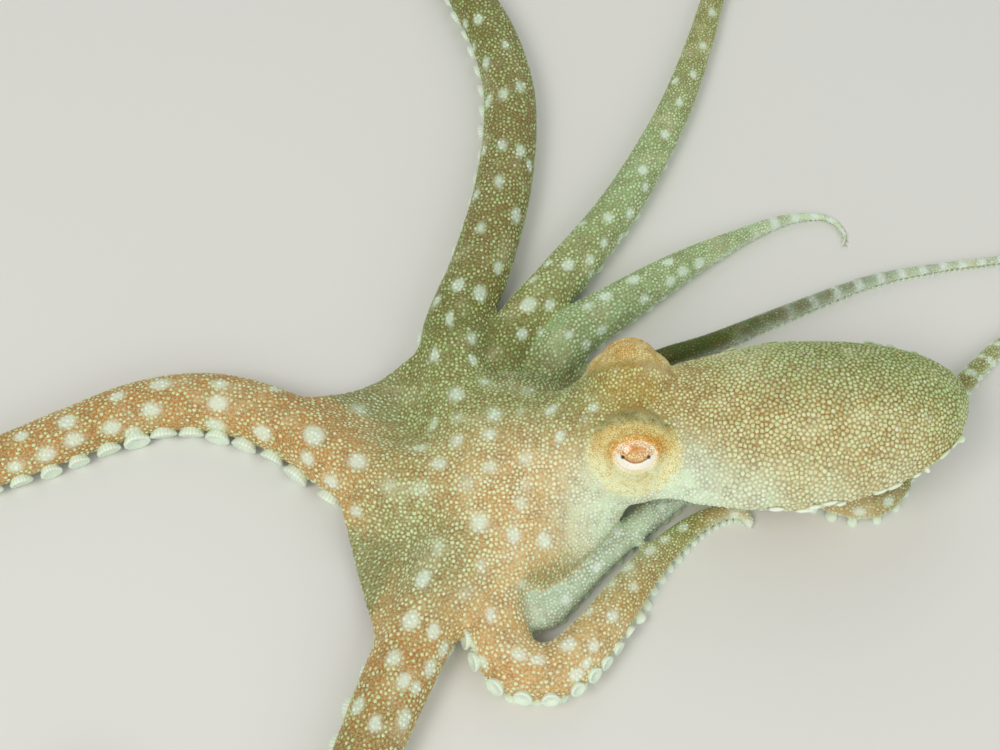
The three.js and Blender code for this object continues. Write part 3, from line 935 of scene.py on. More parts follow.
PATCHES, PATCH_REACH, PATCH_STRENGTH = 170, (1.0, 2.6), (0.16, 0.42)
PATCH_ZONES = ((6, 2, 34, 34), (80, 13, 42, 24))  # middles and half sizes on the ground plan


def spot_places():
    """Every spot as a point, its reach and its direction along the body."""
    rows = []
    for name, arm in arms.items():
        listed = list(ARM_SPOTS[name])
        s = FIRST_SPOTS.get(name, arm.length)
        while s < arm.length - SPOTS_END:
            radius = float(arm.half_width(s))
            for round_ in SPOT_ROUND:
                shift = rng.uniform(-SPOT_SHIFT, SPOT_SHIFT) * radius
                size = rng.uniform(*SPOT_SIZES) * radius
                listed.append((s + shift, round_ + rng.uniform(-SPOT_SWAY, SPOT_SWAY), size))
            s += SPOT_GAP * radius
        for s, round_, size in listed:
            point = arm_surface(arm, np.array([float(s)]), np.radians(90 - np.array([round_])))[0]
            ahead = arm.at(np.array([float(s)]))[1][0]
            reach = SPOT_REACH[0] + SPOT_REACH[1] * size
            rows.append([*point, reach, *ahead, rng.uniform(*SPOT_STRENGTH)])
    for x, y, size in CROWN_SPOTS:
        near = samples[sample_tree.find((x, y, 14.0))[1]]
        strength = CROWN_STRENGTH if x < MANTLE_AXIS[0, 0] + 2 else MANTLE_STRENGTH
        rows.append([x, y, UNPLACED, CROWN_REACH[0] + CROWN_REACH[1] * size, -near[4], near[3],
                     rng.uniform(*strength)])
    return np.array(rows)


def pale_patches():
    """Weak cream patches without order over the crown, the head and the mantle."""
    x, y = rng.uniform(-34, 116, PATCHES), rng.uniform(-34, 40, PATCHES)
    inside = np.any([np.hypot((x - middle_x) / half_x, (y - middle_y) / half_y) < 1
                     for middle_x, middle_y, half_x, half_y in PATCH_ZONES], axis=0)
    turn = rng.uniform(0, math.tau, PATCHES)
    rows = np.column_stack([x, y, np.full(PATCHES, UNPLACED), rng.uniform(*PATCH_REACH, PATCHES),
                            np.cos(turn), np.sin(turn), rng.uniform(*PATCH_STRENGTH, PATCHES)])
    return rows[inside]


def drop_onto(x, y, tree, points):
    """The highest skin point near a place on the ground plan, or else the nearest from above."""
    near = np.flatnonzero(np.hypot(points[:, 0] - x, points[:, 1] - y) < DROP_WIDTH)
    if len(near):
        return points[near[points[near, 2].argmax()]]
    return points[tree.find((x, y, DROP_HEIGHT))[1]]


skin_tree = tree_of(points)
spots = np.concatenate([spot_places(), pale_patches()])
unplaced = spots[:, 2] == UNPLACED
spots[unplaced, :3] = [drop_onto(x, y, skin_tree, points) for x, y in spots[unplaced, :2]]


def spot_mask(points, tree):
    mask = np.zeros(len(points))
    for x, y, z, reach, ahead_x, ahead_y, strength in spots:
        found = tree.find_range((x, y, z), 2.4 * reach * SPOT_STRETCH)
        near = np.array([index for _, index, _ in found], int)
        if not len(near):
            continue
        off = points[near] - (x, y, z)
        along = off[:, 0] * ahead_x + off[:, 1] * ahead_y
        across = np.sqrt(np.maximum((off**2).sum(axis=1) - along**2, 0))
        far = np.hypot(along / SPOT_STRETCH, across) / reach
        mask[near] = np.maximum(mask[near], strength * np.exp(-far**2))
    return mask


# %% Bands on the thin ends
BAND_WIDTHS = (2.2, 2.0)  # half widths, and millimetres added, from band to band
BANDED = (3.2, 2.2)  # bands grow in between these half widths
BAND_EDGE = 1.6  # higher makes the pale bands narrower
BAND_SHARES = {"skin": 0.85, "granules": 0.72}


def band_mask(found):
    mask = np.zeros(len(found["along"]))
    for index, arm in enumerate(arms.values()):
        s = np.arange(0, arm.length + 1, 1.0)
        radius = arm.half_width(s)
        phase = np.cumsum(1 / (BAND_WIDTHS[0] * radius + BAND_WIDTHS[1]))
        here = found["arm"] == index
        wave = 0.5 + 0.5 * np.cos(2 * math.pi * np.interp(found["along"][here], s, phase))
        mask[here] = wave**BAND_EDGE
    thin = 1 - smoothstep(BANDED[1], BANDED[0], found["radius"])
    trunk = np.maximum(found["mantle"], np.maximum(found["head"], found["crown"]))
    return mask * thin * (1 - trunk) * (found["off"] < 1.5)


# %% Paint the skin
def paint(mesh, name, values):
    """A value or colour for every point of a mesh, for its material to read."""
    values = np.asarray(values, np.float32)
    kind, field = ("FLOAT", "value") if values.ndim == 1 else ("FLOAT_COLOR", "color")
    if values.ndim == 2:
        values = np.column_stack([values, np.ones(len(values), np.float32)])
    mesh.attributes.new(name, kind, "POINT").data.foreach_set(field, values.ravel())


grooves, granules = tones_at(points, skin_survey)
white = np.maximum(spot_mask(points, skin_tree), BAND_SHARES["skin"] * band_mask(skin_survey))
paint(skin.data, "groove", grooves)
paint(skin.data, "granule", granules)
paint(skin.data, "white", white)
print("spots:", len(spots), "- skin painted:", f"{(white > 0.5).mean():.1%} white")

# %% [markdown]
# ## Node helpers
# A material here is a small graph. These helpers place one node each and wire it, so a material
# reads as a list of what it does.

# %% Nodes
class Graph:
    """Adds nodes to a tree. Values may be numbers, or sockets of nodes that are already there."""

    def __init__(self, tree):
        self.tree = tree

    def add(self, kind, inputs=(), **settings):
        node = self.tree.nodes.new(kind)
        for key, value in settings.items():
            setattr(node, key, value)
        for key, value in dict(inputs).items():
            socket = node.inputs[key]
            if isinstance(value, bpy.types.NodeSocket):
                self.tree.links.new(value, socket)
            else:
                socket.default_value = value
        return node

    def math(self, operation, *values, clamp=False):
        return self.add("ShaderNodeMath", dict(enumerate(values)), operation=operation,
                        use_clamp=clamp).outputs[0]

    def plus(self, a, b, clamp=False):
        return self.math("ADD", a, b, clamp=clamp)

    def minus(self, a, b):
        return self.math("SUBTRACT", a, b)

    def times(self, a, b):
        return self.math("MULTIPLY", a, b)

    def square(self, a):
        return self.math("POWER", a, 2.0)

    def hypot(self, a, b):
        return self.math("SQRT", self.plus(self.square(a), self.square(b)))

    def sway(self, noise, size):
        """A noise from 0 to 1 as a swing round zero."""
        return self.times(self.minus(noise, 0.5), size)

    def vector(self, operation, *values, out=0):
        return self.add("ShaderNodeVectorMath", dict(enumerate(values)),
                        operation=operation).outputs[out]

    def step(self, value, low, high):
        return self.add("ShaderNodeMapRange", {0: value, 1: low, 2: high, 3: 0.0, 4: 1.0},
                        interpolation_type="SMOOTHSTEP").outputs[0]

    def mix(self, share, a, b):
        return self.add("ShaderNodeMix", {0: share, 6: a, 7: b}, data_type="RGBA").outputs[2]

    def noise(self, place, per_mm, detail=2.0, roughness=0.5):
        return self.add("ShaderNodeTexNoise", {"Vector": place, "Scale": per_mm / MM,
                        "Detail": detail, "Roughness": roughness}).outputs[0]

    def cells(self, place, per_mm, feature="F1"):
        return self.add("ShaderNodeTexVoronoi", {"Vector": place, "Scale": per_mm / MM},
                        feature=feature).outputs["Distance"]

    def attribute(self, name, output):
        return self.add("ShaderNodeAttribute", attribute_name=name).outputs[output]

    def group(self, group, inputs):
        return self.add("ShaderNodeGroup", inputs, node_tree=group).outputs

    def feed(self, sockets, values):
        """Links each value to the socket that it is named after."""
        for name, value in values.items():
            self.tree.links.new(value, sockets[name])

    def place(self):
        return self.add("ShaderNodeTexCoord").outputs["Object"]

    def bump(self, height, distance, strength=1.0):
        return self.add("ShaderNodeBump", {"Height": height, "Distance": distance * MM,
                        "Strength": strength}).outputs[0]


def colour(*rgb):
    return (*linear(*rgb), 1.0)


def new_group(name, inputs, outputs):
    """An empty node group with sockets from {name: kind} tables."""
    group = bpy.data.node_groups.new(name, "ShaderNodeTree")
    for direction, table in (("INPUT", inputs), ("OUTPUT", outputs)):
        for socket, kind in table.items():
            group.interface.new_socket(socket, in_out=direction, socket_type=f"NodeSocket{kind}")
    graph = Graph(group)
    start = graph.add("NodeGroupInput").outputs
    end = graph.add("NodeGroupOutput").inputs
    return group, graph, start, end


def new_material(name, roughness, **sockets):
    material = bpy.data.materials.new(name)
    material.use_nodes = True
    graph = Graph(material.node_tree)
    shader = material.node_tree.nodes["Principled BSDF"]
    shader.inputs["Roughness"].default_value = roughness
    for key, value in sockets.items():
        shader.inputs[key.replace("_", " ")].default_value = value
    return material, graph, shader


# %% [markdown]
# ## What all skin shares
# Close up, octopus skin is never one colour. Tiny elastic sacs of rust-coloured pigment speckle it,
# pale grains shine between them, and white spots break up at their edges. One node group makes that
# mottling from a point's groove and granule colours, and both the skin and its granules use it.

# %% Mottled skin group
mottle, g, start, end = new_group(
    "mottled_skin",
    {"Place": "Vector", "Groove": "Color", "Granule": "Color", "White": "Float", "Raised": "Float"},
    {"Color": "Color", "Roughness": "Float", "Height": "Float"})
cloud = g.noise(start["Place"], 0.09, 3.0, 0.6)
fleck = g.noise(start["Place"], 1.5, 2.0, 0.6)
sacs = g.cells(start["Place"], 2.4)
grain = g.step(g.noise(start["Place"], 2.2, 2.0, 0.5), 0.45, 0.58)
patch = g.noise(start["Place"], 0.24, 3.0, 0.65)
raised = g.plus(g.times(start["Raised"], 0.9), g.times(grain, 0.3), clamp=True)
deeper = g.mix(0.5, start["Groove"], colour(122, 64, 12))
rusty = g.mix(g.times(g.step(patch, 0.44, 0.62), 0.75), start["Groove"], deeper)
base = g.mix(raised, rusty, start["Granule"])
speckle = g.times(g.step(sacs, 0.36, 0.16), g.step(fleck, 0.4, 0.56))
speckle = g.times(speckle, g.minus(0.7, g.times(raised, 0.5)))
base = g.mix(speckle, base, deeper)
lighter = g.mix(0.36, base, colour(250, 246, 206))
base = g.mix(g.times(g.step(cloud, 0.5, 0.72), 0.6), base, lighter)
darker = g.mix(0.3, base, colour(130, 96, 34))
base = g.mix(g.times(g.step(cloud, 0.46, 0.28), 0.5), base, darker)
edge = g.plus(start["White"], g.sway(fleck, 0.6))
whiten = g.times(g.step(edge, 0.12, 0.82), g.plus(0.74, g.times(start["Raised"], 0.22)))
white = g.mix(0.34, colour(244, 255, 250), start["Granule"])
base = g.mix(whiten, base, white)
g.feed(end, {"Color": base, "Height": g.plus(fleck, g.times(raised, 0.8)),
             "Roughness": g.plus(0.42, g.times(fleck, 0.22))})
print("mottled skin group:", len(g.tree.nodes), "nodes")

# %% [markdown]
# ## Colours round the eye
# The lid's rim is white with fine orange teeth, and its inner edge under the upper lid is painted
# dark as shade. Outside it an orange crescent lies above the eye and pale yellow below, and the
# smooth swollen ring further out is painted grey-green as the fold's shade, darkest above the eye.
# The group turns a place into directions from the eyeball, as the lids' shaping did, and colours
# are picked by them.

# %% Eye direction group
eye_map, g, start, end = new_group(
    "eye_directions",
    {"Place": "Vector", "Centre": "Vector", "Across": "Vector", "Sight": "Vector"},
    {"Along": "Float", "Up": "Float", "Share": "Float", "Wide": "Float", "Front": "Float"})
out = g.vector("SUBTRACT", start["Place"], start["Centre"])
out = g.vector("SCALE", out)
out.node.inputs["Scale"].default_value = 1 / MM
along = g.vector("DOT_PRODUCT", out, (1.0, 0.0, 0.0), out=1)
up = g.vector("DOT_PRODUCT", out, start["Across"], out=1)
front = g.vector("DOT_PRODUCT", out, start["Sight"], out=1)
wide = g.hypot(along, up)
off = g.math("ARCTAN2", wide, front)
stretch = g.hypot(g.math("DIVIDE", along, EYE_OPEN[0]), g.math("DIVIDE", up, EYE_OPEN[1]))
share = g.math("DIVIDE", g.times(off, stretch), g.math("MAXIMUM", wide, 0.001))
g.feed(end, {"Along": along, "Up": up, "Share": share, "Wide": wide, "Front": front})


def eye_directions(g, place, side):
    centre, _, across, gaze = eye_frame(side)
    return g.group(eye_map, {"Place": place, "Centre": tuple(centre * MM),
                             "Across": tuple(across), "Sight": tuple(gaze)})


# %% Lid colours
EYE_FIRE = {"left": 1.0, "right": 0.55}  # how strongly the orange crescent shows
EYE_PAINTED_SHADE = {"left": 1.0, "right": 0.2}  # how strong the painted shade on the outer ring is
EYE_LINE = {"left": 0.07, "right": 0.15}  # how wide the lines between the skin's cells are
EYE_CREAM = {"left": 0.35, "right": 0.95}  # how much cream lies on the smooth skin in patches
EYE_EMBER = {"left": 0.3, "right": 0.5}  # and how much orange


def lid_colours(g, place, side, base):
    """The skin's colour with one eye's rings laid over it."""
    eye = eye_directions(g, place, side)
    share = g.plus(eye["Share"], g.sway(g.noise(place, 0.3, 3.0), 0.9))
    upward = g.math("DIVIDE", eye["Up"], g.math("MAXIMUM", eye["Wide"], 0.001))
    above = g.step(upward, -0.55, 0.45)
    fire = g.times(g.step(share, 2.05, 1.15), above)
    fire = g.math("MAXIMUM", fire, g.times(g.step(share, 1.4, 1.1), 0.2))
    fire = g.times(fire, EYE_FIRE[side])
    # painted shade: a grey-green band on the swollen ring for the fold's shadow, darkest above the
    # eye
    ring_painted_shade = g.times(g.times(g.step(share, 2.0, 2.6), g.step(upward, -0.8, 0.5)), EYE_PAINTED_SHADE[side])
    cream = g.times(g.step(g.noise(place, 0.3, 3.0, 0.6), 0.4, 0.56), EYE_CREAM[side])
    ember = g.times(g.step(g.noise(place, 0.22, 3.0, 0.6), 0.5, 0.6), EYE_EMBER[side])
    cells = g.mix(above, colour(246, 250, 214), colour(232, 218, 146))
    lines = g.mix(above, colour(216, 214, 148), colour(200, 160, 76))
    for on_cells, on_lines, cell, between in (
            (ring_painted_shade, ring_painted_shade, (166, 162, 98), (122, 110, 52)),
            (fire, fire, (246, 212, 116), (214, 140, 30)),
            (cream, g.times(cream, 0.6), (250, 248, 190), (226, 196, 126)),
            (ember, ember, (242, 208, 118), (198, 134, 42))):
        cells = g.mix(on_cells, cells, colour(*cell))
        lines = g.mix(on_lines, lines, colour(*between))
    grid = g.cells(place, 1.7, "DISTANCE_TO_EDGE")
    width = g.plus(EYE_LINE[side], g.times(fire, 0.1))
    width = g.plus(width, g.sway(g.noise(place, 0.9, 2.0), 0.3))
    ring = g.mix(g.step(g.minus(grid, width), 0.07, -0.05), cells, lines)
    teeth = g.mix(above, colour(240, 224, 168), colour(236, 172, 72))
    rim = g.mix(g.step(g.noise(place, 2.8, 2.0), 0.44, 0.56), teeth, colour(255, 248, 228))
    ring = g.mix(g.step(eye["Share"], 1.14, 1.03), ring, rim)
    # the lid's inner edge: its own pale colour below, and painted dark orange-brown above as shade
    # under the upper lid
    inner_rim_with_shade = g.mix(above, colour(246, 232, 196), colour(190, 122, 52))
    ring = g.mix(g.step(eye["Share"], 0.97, 0.9), ring, inner_rim_with_shade)
    smooth = g.times(g.step(eye["Wide"], 13.4, 10.6), g.step(eye["Front"], -3.0, 0.5))
    return g.mix(smooth, base, ring)


# %% Skin material
def mottled(g, raised):
    place = g.place()
    return place, g.group(mottle, {
        "Place": place, "Groove": g.attribute("groove", "Color"),
        "Granule": g.attribute("granule", "Color"), "White": g.attribute("white", "Fac"),
        "Raised": raised})


skin_finish, g, shader = new_material(
    "octopus_skin", 0.5, Specular_IOR_Level=0.45, Subsurface_Weight=0.12,
    Subsurface_Scale=1.2 * MM, Subsurface_Radius=(1.0, 0.55, 0.3))
place, made = mottled(g, 0.08)
base = made["Color"]
for side in EYE_SIDES:
    base = lid_colours(g, place, side, base)
g.feed(shader.inputs, {"Base Color": base, "Roughness": made["Roughness"],
                       "Normal": g.bump(made["Height"], 0.25, 0.6)})
skin.data.materials.clear()
skin.data.materials.append(skin_finish)
print("skin material:", len(g.tree.nodes), "nodes")

# %% [markdown]
# ## Eyeballs
# The ball itself shows only between the lids: an orange iris with cream netting, a narrow pupil
# that droops in the middle between two dark ends, and a white crescent under it. Each ball is a
# sphere whose poles lie on the line of sight, so its rings run round the iris, with a shallow
# groove pressed in along the pupil. A clear coat makes it wet.

# %% Eyeballs
PUPIL = {"half": 3.2, "droop": 1.35, "groove": 0.22, "wide": 0.3}
IRIS = {"half": (5.6, 4.0), "dip": 0.12}
BALL = (72, 64)  # segments around, and rings


def eye_surface(points):
    """Presses the pupil's groove into a ball whose line of sight is +Z and whose up is +Y."""
    x, y = points[:, 0], points[:, 1]
    line = -PUPIL["droop"] * (1 - (x / PUPIL["half"]) ** 2)
    inside = smoothstep(PUPIL["half"] + 0.3, PUPIL["half"] - 0.4, np.abs(x)) * (points[:, 2] > 0)
    dip = PUPIL["groove"] * np.exp(-((y - line) / PUPIL["wide"]) ** 2) * inside
    iris = smoothstep(0.8, 0.2, np.hypot(x / IRIS["half"][0], y / IRIS["half"][1]))
    iris *= IRIS["dip"] * (points[:, 2] > 0)
    return points * (1 - (dip + iris) / EYE_RADIUS)[:, None]


def add_eyeball(side):
    bm = bmesh.new()
    bmesh.ops.create_uvsphere(bm, u_segments=BALL[0], v_segments=BALL[1], radius=EYE_RADIUS)
    centre, along, across, gaze = eye_frame(side)
    shaped = eye_surface(np.array([v.co for v in bm.verts]))
    placed = centre + shaped @ np.array([along, across, gaze])
    for vert, spot in zip(bm.verts, placed):
        vert.co = spot
    bmesh.ops.recalc_face_normals(bm, faces=bm.faces)
    return add_piece(f"eyeball_{side}", new_mesh(f"eyeball_{side}", bm), [f"eye_{side}"])


def eye_finish(side):
    material, g, shader = new_material(f"eye_{side}", 0.18, Specular_IOR_Level=0.6,
                                       Coat_Weight=1.0, Coat_Roughness=0.04)
    place = g.place()
    eye = eye_directions(g, place, side)
    bow = g.minus(1.0, g.square(g.math("DIVIDE", eye["Along"], PUPIL["half"])))
    above = g.minus(eye["Up"], g.minus(0.0, g.times(bow, PUPIL["droop"])))
    net = g.noise(place, 2.6, 3.0, 0.65)
    iris = g.mix(g.step(net, 0.44, 0.58), colour(204, 134, 44), colour(244, 220, 156))
    iris = g.mix(g.times(g.step(above, 1.6, 3.4), 0.75), iris, colour(216, 132, 40))
    white_below = g.mix(g.step(net, 0.44, 0.66), colour(255, 253, 240), colour(252, 240, 214))
    base = g.mix(g.step(above, -0.1, -0.5), iris, white_below)
    ring = g.plus(eye["Share"], g.sway(net, 0.5))
    lace = g.mix(g.step(net, 0.46, 0.54), colour(230, 168, 76), colour(255, 250, 232))
    base = g.mix(g.times(g.step(ring, 0.7, 0.86), g.step(above, -0.9, 0.1)), base, lace)
    sideways = g.math("ABSOLUTE", eye["Along"])
    inside = g.step(sideways, PUPIL["half"] + 0.2, PUPIL["half"] - 0.3)
    slit = g.times(inside, g.step(g.math("ABSOLUTE", above), 0.3, 0.1))
    base = g.mix(g.times(slit, 0.85), base, colour(150, 84, 36))
    from_end = g.hypot(g.minus(sideways, PUPIL["half"] - 0.1), g.plus(eye["Up"], 0.1))
    base = g.mix(g.step(from_end, 0.62, 0.3), base, colour(44, 32, 18))
    g.feed(shader.inputs, {"Base Color": base, "Normal": g.bump(net, 0.12, 0.35)})
    return material


eyeballs = {side: add_eyeball(side) for side in EYE_SIDES}
for side, eyeball in eyeballs.items():
    eyeball.data.materials.append(eye_finish(side))
    print("eyeball", side, len(eyeball.data.polygons), "faces")

# %% [markdown]
# ## Suckers
# Two staggered rows of suckers run under every arm. One cup is enough of a model: a profile is spun
# into a rim, a hollow and a stalk. Each copy keeps its rim flat on the ground, or turns it out with
# the arm's twist, and along the broad front arms the rims flare out like a row of lenses. A stalk
# is drawn towards the arm's core, so no sucker floats. Hundreds of copies are placed at once with
# arrays and joined arm by arm.

# %% Sucker shape
SUCKER_SIDES = 12
SUCKER_PROFILE = [(0.0, 0.34), (0.56, 0.28), (0.8, 0.0), (1.0, 0.05), (1.02, 0.2), (0.88, 0.42),
                  (0.74, 1.0), (0.0, 1.0)]  # radius and height, in rim radii, the rim down
STALK_START = 0.4


def spun_shape(profile, sides):
    """A closed shape spun from a profile, as points and triangles."""
    bm = bmesh.new()
    line = [bm.verts.new((r, 0, z)) for r, z in profile]
    edges = [bm.edges.new(pair) for pair in zip(line, line[1:])]
    bmesh.ops.spin(bm, geom=line + edges, cent=(0, 0, 0), axis=(0, 0, 1), angle=math.tau,
                   steps=sides, use_merge=True)
    bmesh.ops.remove_doubles(bm, verts=bm.verts, dist=1e-5)
    bmesh.ops.dissolve_degenerate(bm, edges=bm.edges, dist=1e-6)
    bmesh.ops.recalc_face_normals(bm, faces=bm.faces)
    bmesh.ops.triangulate(bm, faces=bm.faces)
    bm.verts.index_update()
    shape = (np.array([v.co for v in bm.verts]),
             np.array([[v.index for v in f.verts] for f in bm.faces]))
    bm.free()
    return shape


def repeated_mesh(name, copies, triangles):
    """One mesh of many moved copies of a shape. copies has a row of points for every copy."""
    count, size = copies.shape[:2]
    faces = (np.arange(count)[:, None, None] * size + triangles).reshape(-1, 3)
    mesh = bpy.data.meshes.new(name)
    mesh.vertices.add(count * size)
    mesh.loops.add(faces.size)
    mesh.polygons.add(len(faces))
    mesh.vertices.foreach_set("co", copies.astype(np.float32).ravel())
    mesh.loops.foreach_set("vertex_index", faces.astype(np.int32).ravel())
    mesh.polygons.foreach_set("loop_start", np.arange(len(faces), dtype=np.int32) * 3)
    mesh.update(calc_edges=True)
    return mesh


cup_points, cup_triangles = spun_shape(SUCKER_PROFILE, SUCKER_SIDES)
print("one sucker:", len(cup_triangles), "triangles")

# %% Sucker places
SUCKER_SIZE, SUCKER_GAP = 0.36, 0.54  # rim radius, and the step from row to row, in half widths
SUCKER_SCALE = {"left_3": 0.84, "right_3": 0.85, "right_4": 0.85, "left_4": 0.9}
SUCKER_WIDE = {"left_1": 1.18, "left_2": 1.12, "right_1": 1.05}  # wider rims, as far apart
FLARE = {"left_1": 30, "left_2": 26, "right_1": 28, "right_2": 24}  # degrees that rims turn out
FLARE_OUT = 0.3  # how much further out a flared sucker stands, in half widths
SUCKER_START, SUCKER_END = 9.0, 2.5  # from the mouth, and from the tip
SMALLEST_STEP = 0.75
SUCKER_LUCK, ANGLE_LUCK = (0.9, 1.1), 0.05  # sizes and angles stray this far
STAND_OUT = 1.1  # how far a rim's middle stands from the arm's, in half widths
LEAN_RATE, LEAN_MORE = 3.6, 0.1  # how fast a rim turns outward, and how far past its own angle
STALK_REACH = 0.5  # how much of the way to the arm's core a stalk goes
SUCKER_CROWD = [(26, 0.9), (34, 0.6), (60, 0.6), (70, 0.9)]  # closer on the stretched bend
ROW_ANGLE = math.radians(34)  # how far round from the underside each row lies
FLAT_ANGLE = math.radians(62)  # suckers further round than this turn outward
ARM_ROLL = {  # distance, then how far the suckers are rolled to the arm's right, in degrees
    "left_1": [(0, 0), (30, -14), (60, -20), (150, -18), (260, 0)],
    "left_2": [(0, 0), (40, 8), (58, 14), (150, 10), (260, 0)],
    "left_3": [(24, 0), (32, 66), (60, 70), (74, 50), (90, 14), (200, 8)],
    "left_4": [(0, 0), (98, 0), (112, 14), (138, 14), (160, 0)],
    "right_1": [(0, 0), (40, -12), (150, -15), (260, 0)],
    "right_2": [(0, 0), (40, -8), (180, -6), (260, 0)],
    "right_3": [(0, 0), (80, -6), (130, -18)],
    "right_4": [(0, 0), (200, 0)],
}


def sucker_rows(arm):
    """Distance along, side and half width for each sucker of an arm."""
    s, side, rows = SUCKER_START, 1, []
    scale = SUCKER_SCALE.get(arm.name, 1.0)
    while s < arm.length - SUCKER_END:
        radius = float(arm.half_width(s))
        rows.append((s, side, radius))
        crowd = float(np.interp(s, *zip(*SUCKER_CROWD))) if arm.name == "left_3" else 1.0
        s += max(SUCKER_GAP * scale * crowd * radius, SMALLEST_STEP)
        side = -side
    return np.array(rows), scale


def place_suckers(arm):
    """The points of every sucker of an arm: its rim on the floor or turned outward with the roll,
    and its stalk leaning into the arm."""
    rows, scale = sucker_rows(arm)
    s, row, radius = rows.T
    centre, side, _ = arm_frame(arm, s)
    roll = np.radians(np.interp(s, *zip(*ARM_ROLL[arm.name])))
    wide = SUCKER_SIZE * scale * SUCKER_WIDE.get(arm.name, 1.0)
    rim = wide * radius * rng.uniform(*SUCKER_LUCK, len(s)) * smoothstep(0, 26, s + 14)
    flare = math.radians(FLARE.get(arm.name, 0))
    round_ = row * ROW_ANGLE + roll + rng.uniform(-ANGLE_LUCK, ANGLE_LUCK, len(s))
    past = np.maximum(np.abs(round_) - (FLAT_ANGLE - flare), 0)
    lean = np.sign(round_) * np.minimum(past * LEAN_RATE, np.abs(round_) + LEAN_MORE + flare)
    up = np.array([0, 0, 1.0])
    down = side * np.sin(lean)[:, None] - up * np.cos(lean)[:, None]
    stand_out = STAND_OUT + FLARE_OUT * smoothstep(0.5, 1.3, np.abs(lean)) * (flare > 0)
    sole = centre + side * (radius * stand_out * np.sin(round_))[:, None]
    stand = centre[:, 2] - np.cos(round_) * radius * ARM_HEIGHT * STAND_OUT
    turned = smoothstep(0.0, 0.5, np.abs(lean))
    sole[:, 2] = np.maximum(lerp(0.0, stand, turned), rim * np.abs(np.sin(lean)))
    across = np.cross(down, np.cross(side, up))
    across /= np.linalg.norm(across, axis=1, keepdims=True)
    ahead = np.cross(across, down)
    turn = rng.uniform(0, math.tau, len(s))
    x = across * np.cos(turn)[:, None] + ahead * np.sin(turn)[:, None]
    y = np.cross(-down, x)
    core = centre.copy()
    core[:, 2] = np.maximum(centre[:, 2], 0.4)
    flat = cup_points[None, :, :2] * rim[:, None, None]
    height = cup_points[None, :, 2:]
    points = sole[:, None] + flat[..., :1] * x[:, None] + flat[..., 1:] * y[:, None]
    points = points - down[:, None] * np.minimum(height, STALK_START) * rim[:, None, None]
    stalk = np.clip((height - STALK_START) / (1 - STALK_START), 0, 1)
    points = points + (core - sole)[:, None] * stalk * STALK_REACH
    points[..., 2] = np.maximum(points[..., 2], 0)
    return points


# %% Sucker finish
RIBS = 22.0  # fine ribs round a sucker's rim
sucker_finish, g, shader = new_material("sucker", 0.36, Specular_IOR_Level=0.5,
                                        Subsurface_Weight=0.25, Subsurface_Scale=1.0 * MM)
place = g.place()
spoke = g.add("ShaderNodeSeparateXYZ", {0: g.attribute("spoke", "Color")}).outputs
turn = g.math("ARCTAN2", g.minus(spoke["Y"], 0.5), g.minus(spoke["X"], 0.5))
ribs = g.plus(g.times(g.math("SINE", g.times(turn, RIBS)), 0.5), 0.5)
clouds = g.noise(place, 0.8, 3.0, 0.6)
base = g.mix(ribs, colour(246, 255, 240), colour(222, 242, 216))
flesh_tone = g.mix(g.step(clouds, 0.4, 0.62), colour(222, 232, 200), colour(206, 208, 164))
sacs = g.times(g.step(g.cells(place, 1.4), 0.25, 0.12), 0.5)
flesh_tone = g.mix(sacs, flesh_tone, colour(196, 150, 100))
base = g.mix(g.step(spoke["Z"], 0.38, 0.85), base, flesh_tone)
rough = g.plus(g.times(ribs, 0.4), clouds)
g.feed(shader.inputs, {"Base Color": base, "Normal": g.bump(rough, 0.2, 0.6)})

sucker_count = 0
suckers = []
cup_colour = np.column_stack([cup_points[:, :2] * 0.5 + 0.5, np.clip(cup_points[:, 2], 0, 1)])
for name, arm in arms.items():
    copies = place_suckers(arm)
    piece = add_piece(f"suckers_{name}", repeated_mesh(f"suckers_{name}", copies, cup_triangles))
    paint(piece.data, "spoke", np.tile(cup_colour, (len(copies), 1)))
    piece.data.materials.append(sucker_finish)
    suckers.append(piece)
    sucker_count += len(copies)
print("suckers:", sucker_count)

# %% [markdown]
# ## Granules
# The skin of this octopus is set with low rounded granules, like cobbles with dark grooves between
# them: broad ones on the mantle and head, small dots down the arms, and slim ones on the webs that
# lie across the free edge. Even spacing without rows comes from scattering far too many places and
# keeping one only where no kept place is near. A few small pushes even the gaps out, and then
# each cobble grows towards its neighbours.

# %% Granule places
CANDIDATES = 420_000
GAPS = {"mantle": 0.9, "crown": 0.85, "web": 0.9, "arm": 0.95, "smallest": 0.66, "share": 0.14}
EYE_GAP = 0.72  # granules round the eyes are as small as this
EYE_BARE = (10.6, 12.8)  # no granules nearer to the line of sight, all of them further out
EYE_NEAR, EYE_BACK = (11.5, 19), -6.0  # where gaps widen, and no longer count as near the eye
SOLE_SLOPE, SOLE_HEIGHT = -0.3, 1.1  # no granules where skin faces down or lies this low
WEB_OFF = 1.28  # half widths off an arm's middle where the web starts


def skin_normals(mesh):
    normals = np.empty(len(mesh.vertices) * 3, np.float32)
    mesh.vertex_normals.foreach_get("vector", normals)
    return normals.reshape(-1, 3).astype(float)


def eye_axis(place, side):
    """How far places lie along an eye's line of sight from its ball's centre, and off that line."""
    centre, _, _, gaze = eye_frame(side)
    off = place - centre
    front = off @ gaze
    return front, np.linalg.norm(off - front[:, None] * gaze, axis=1)


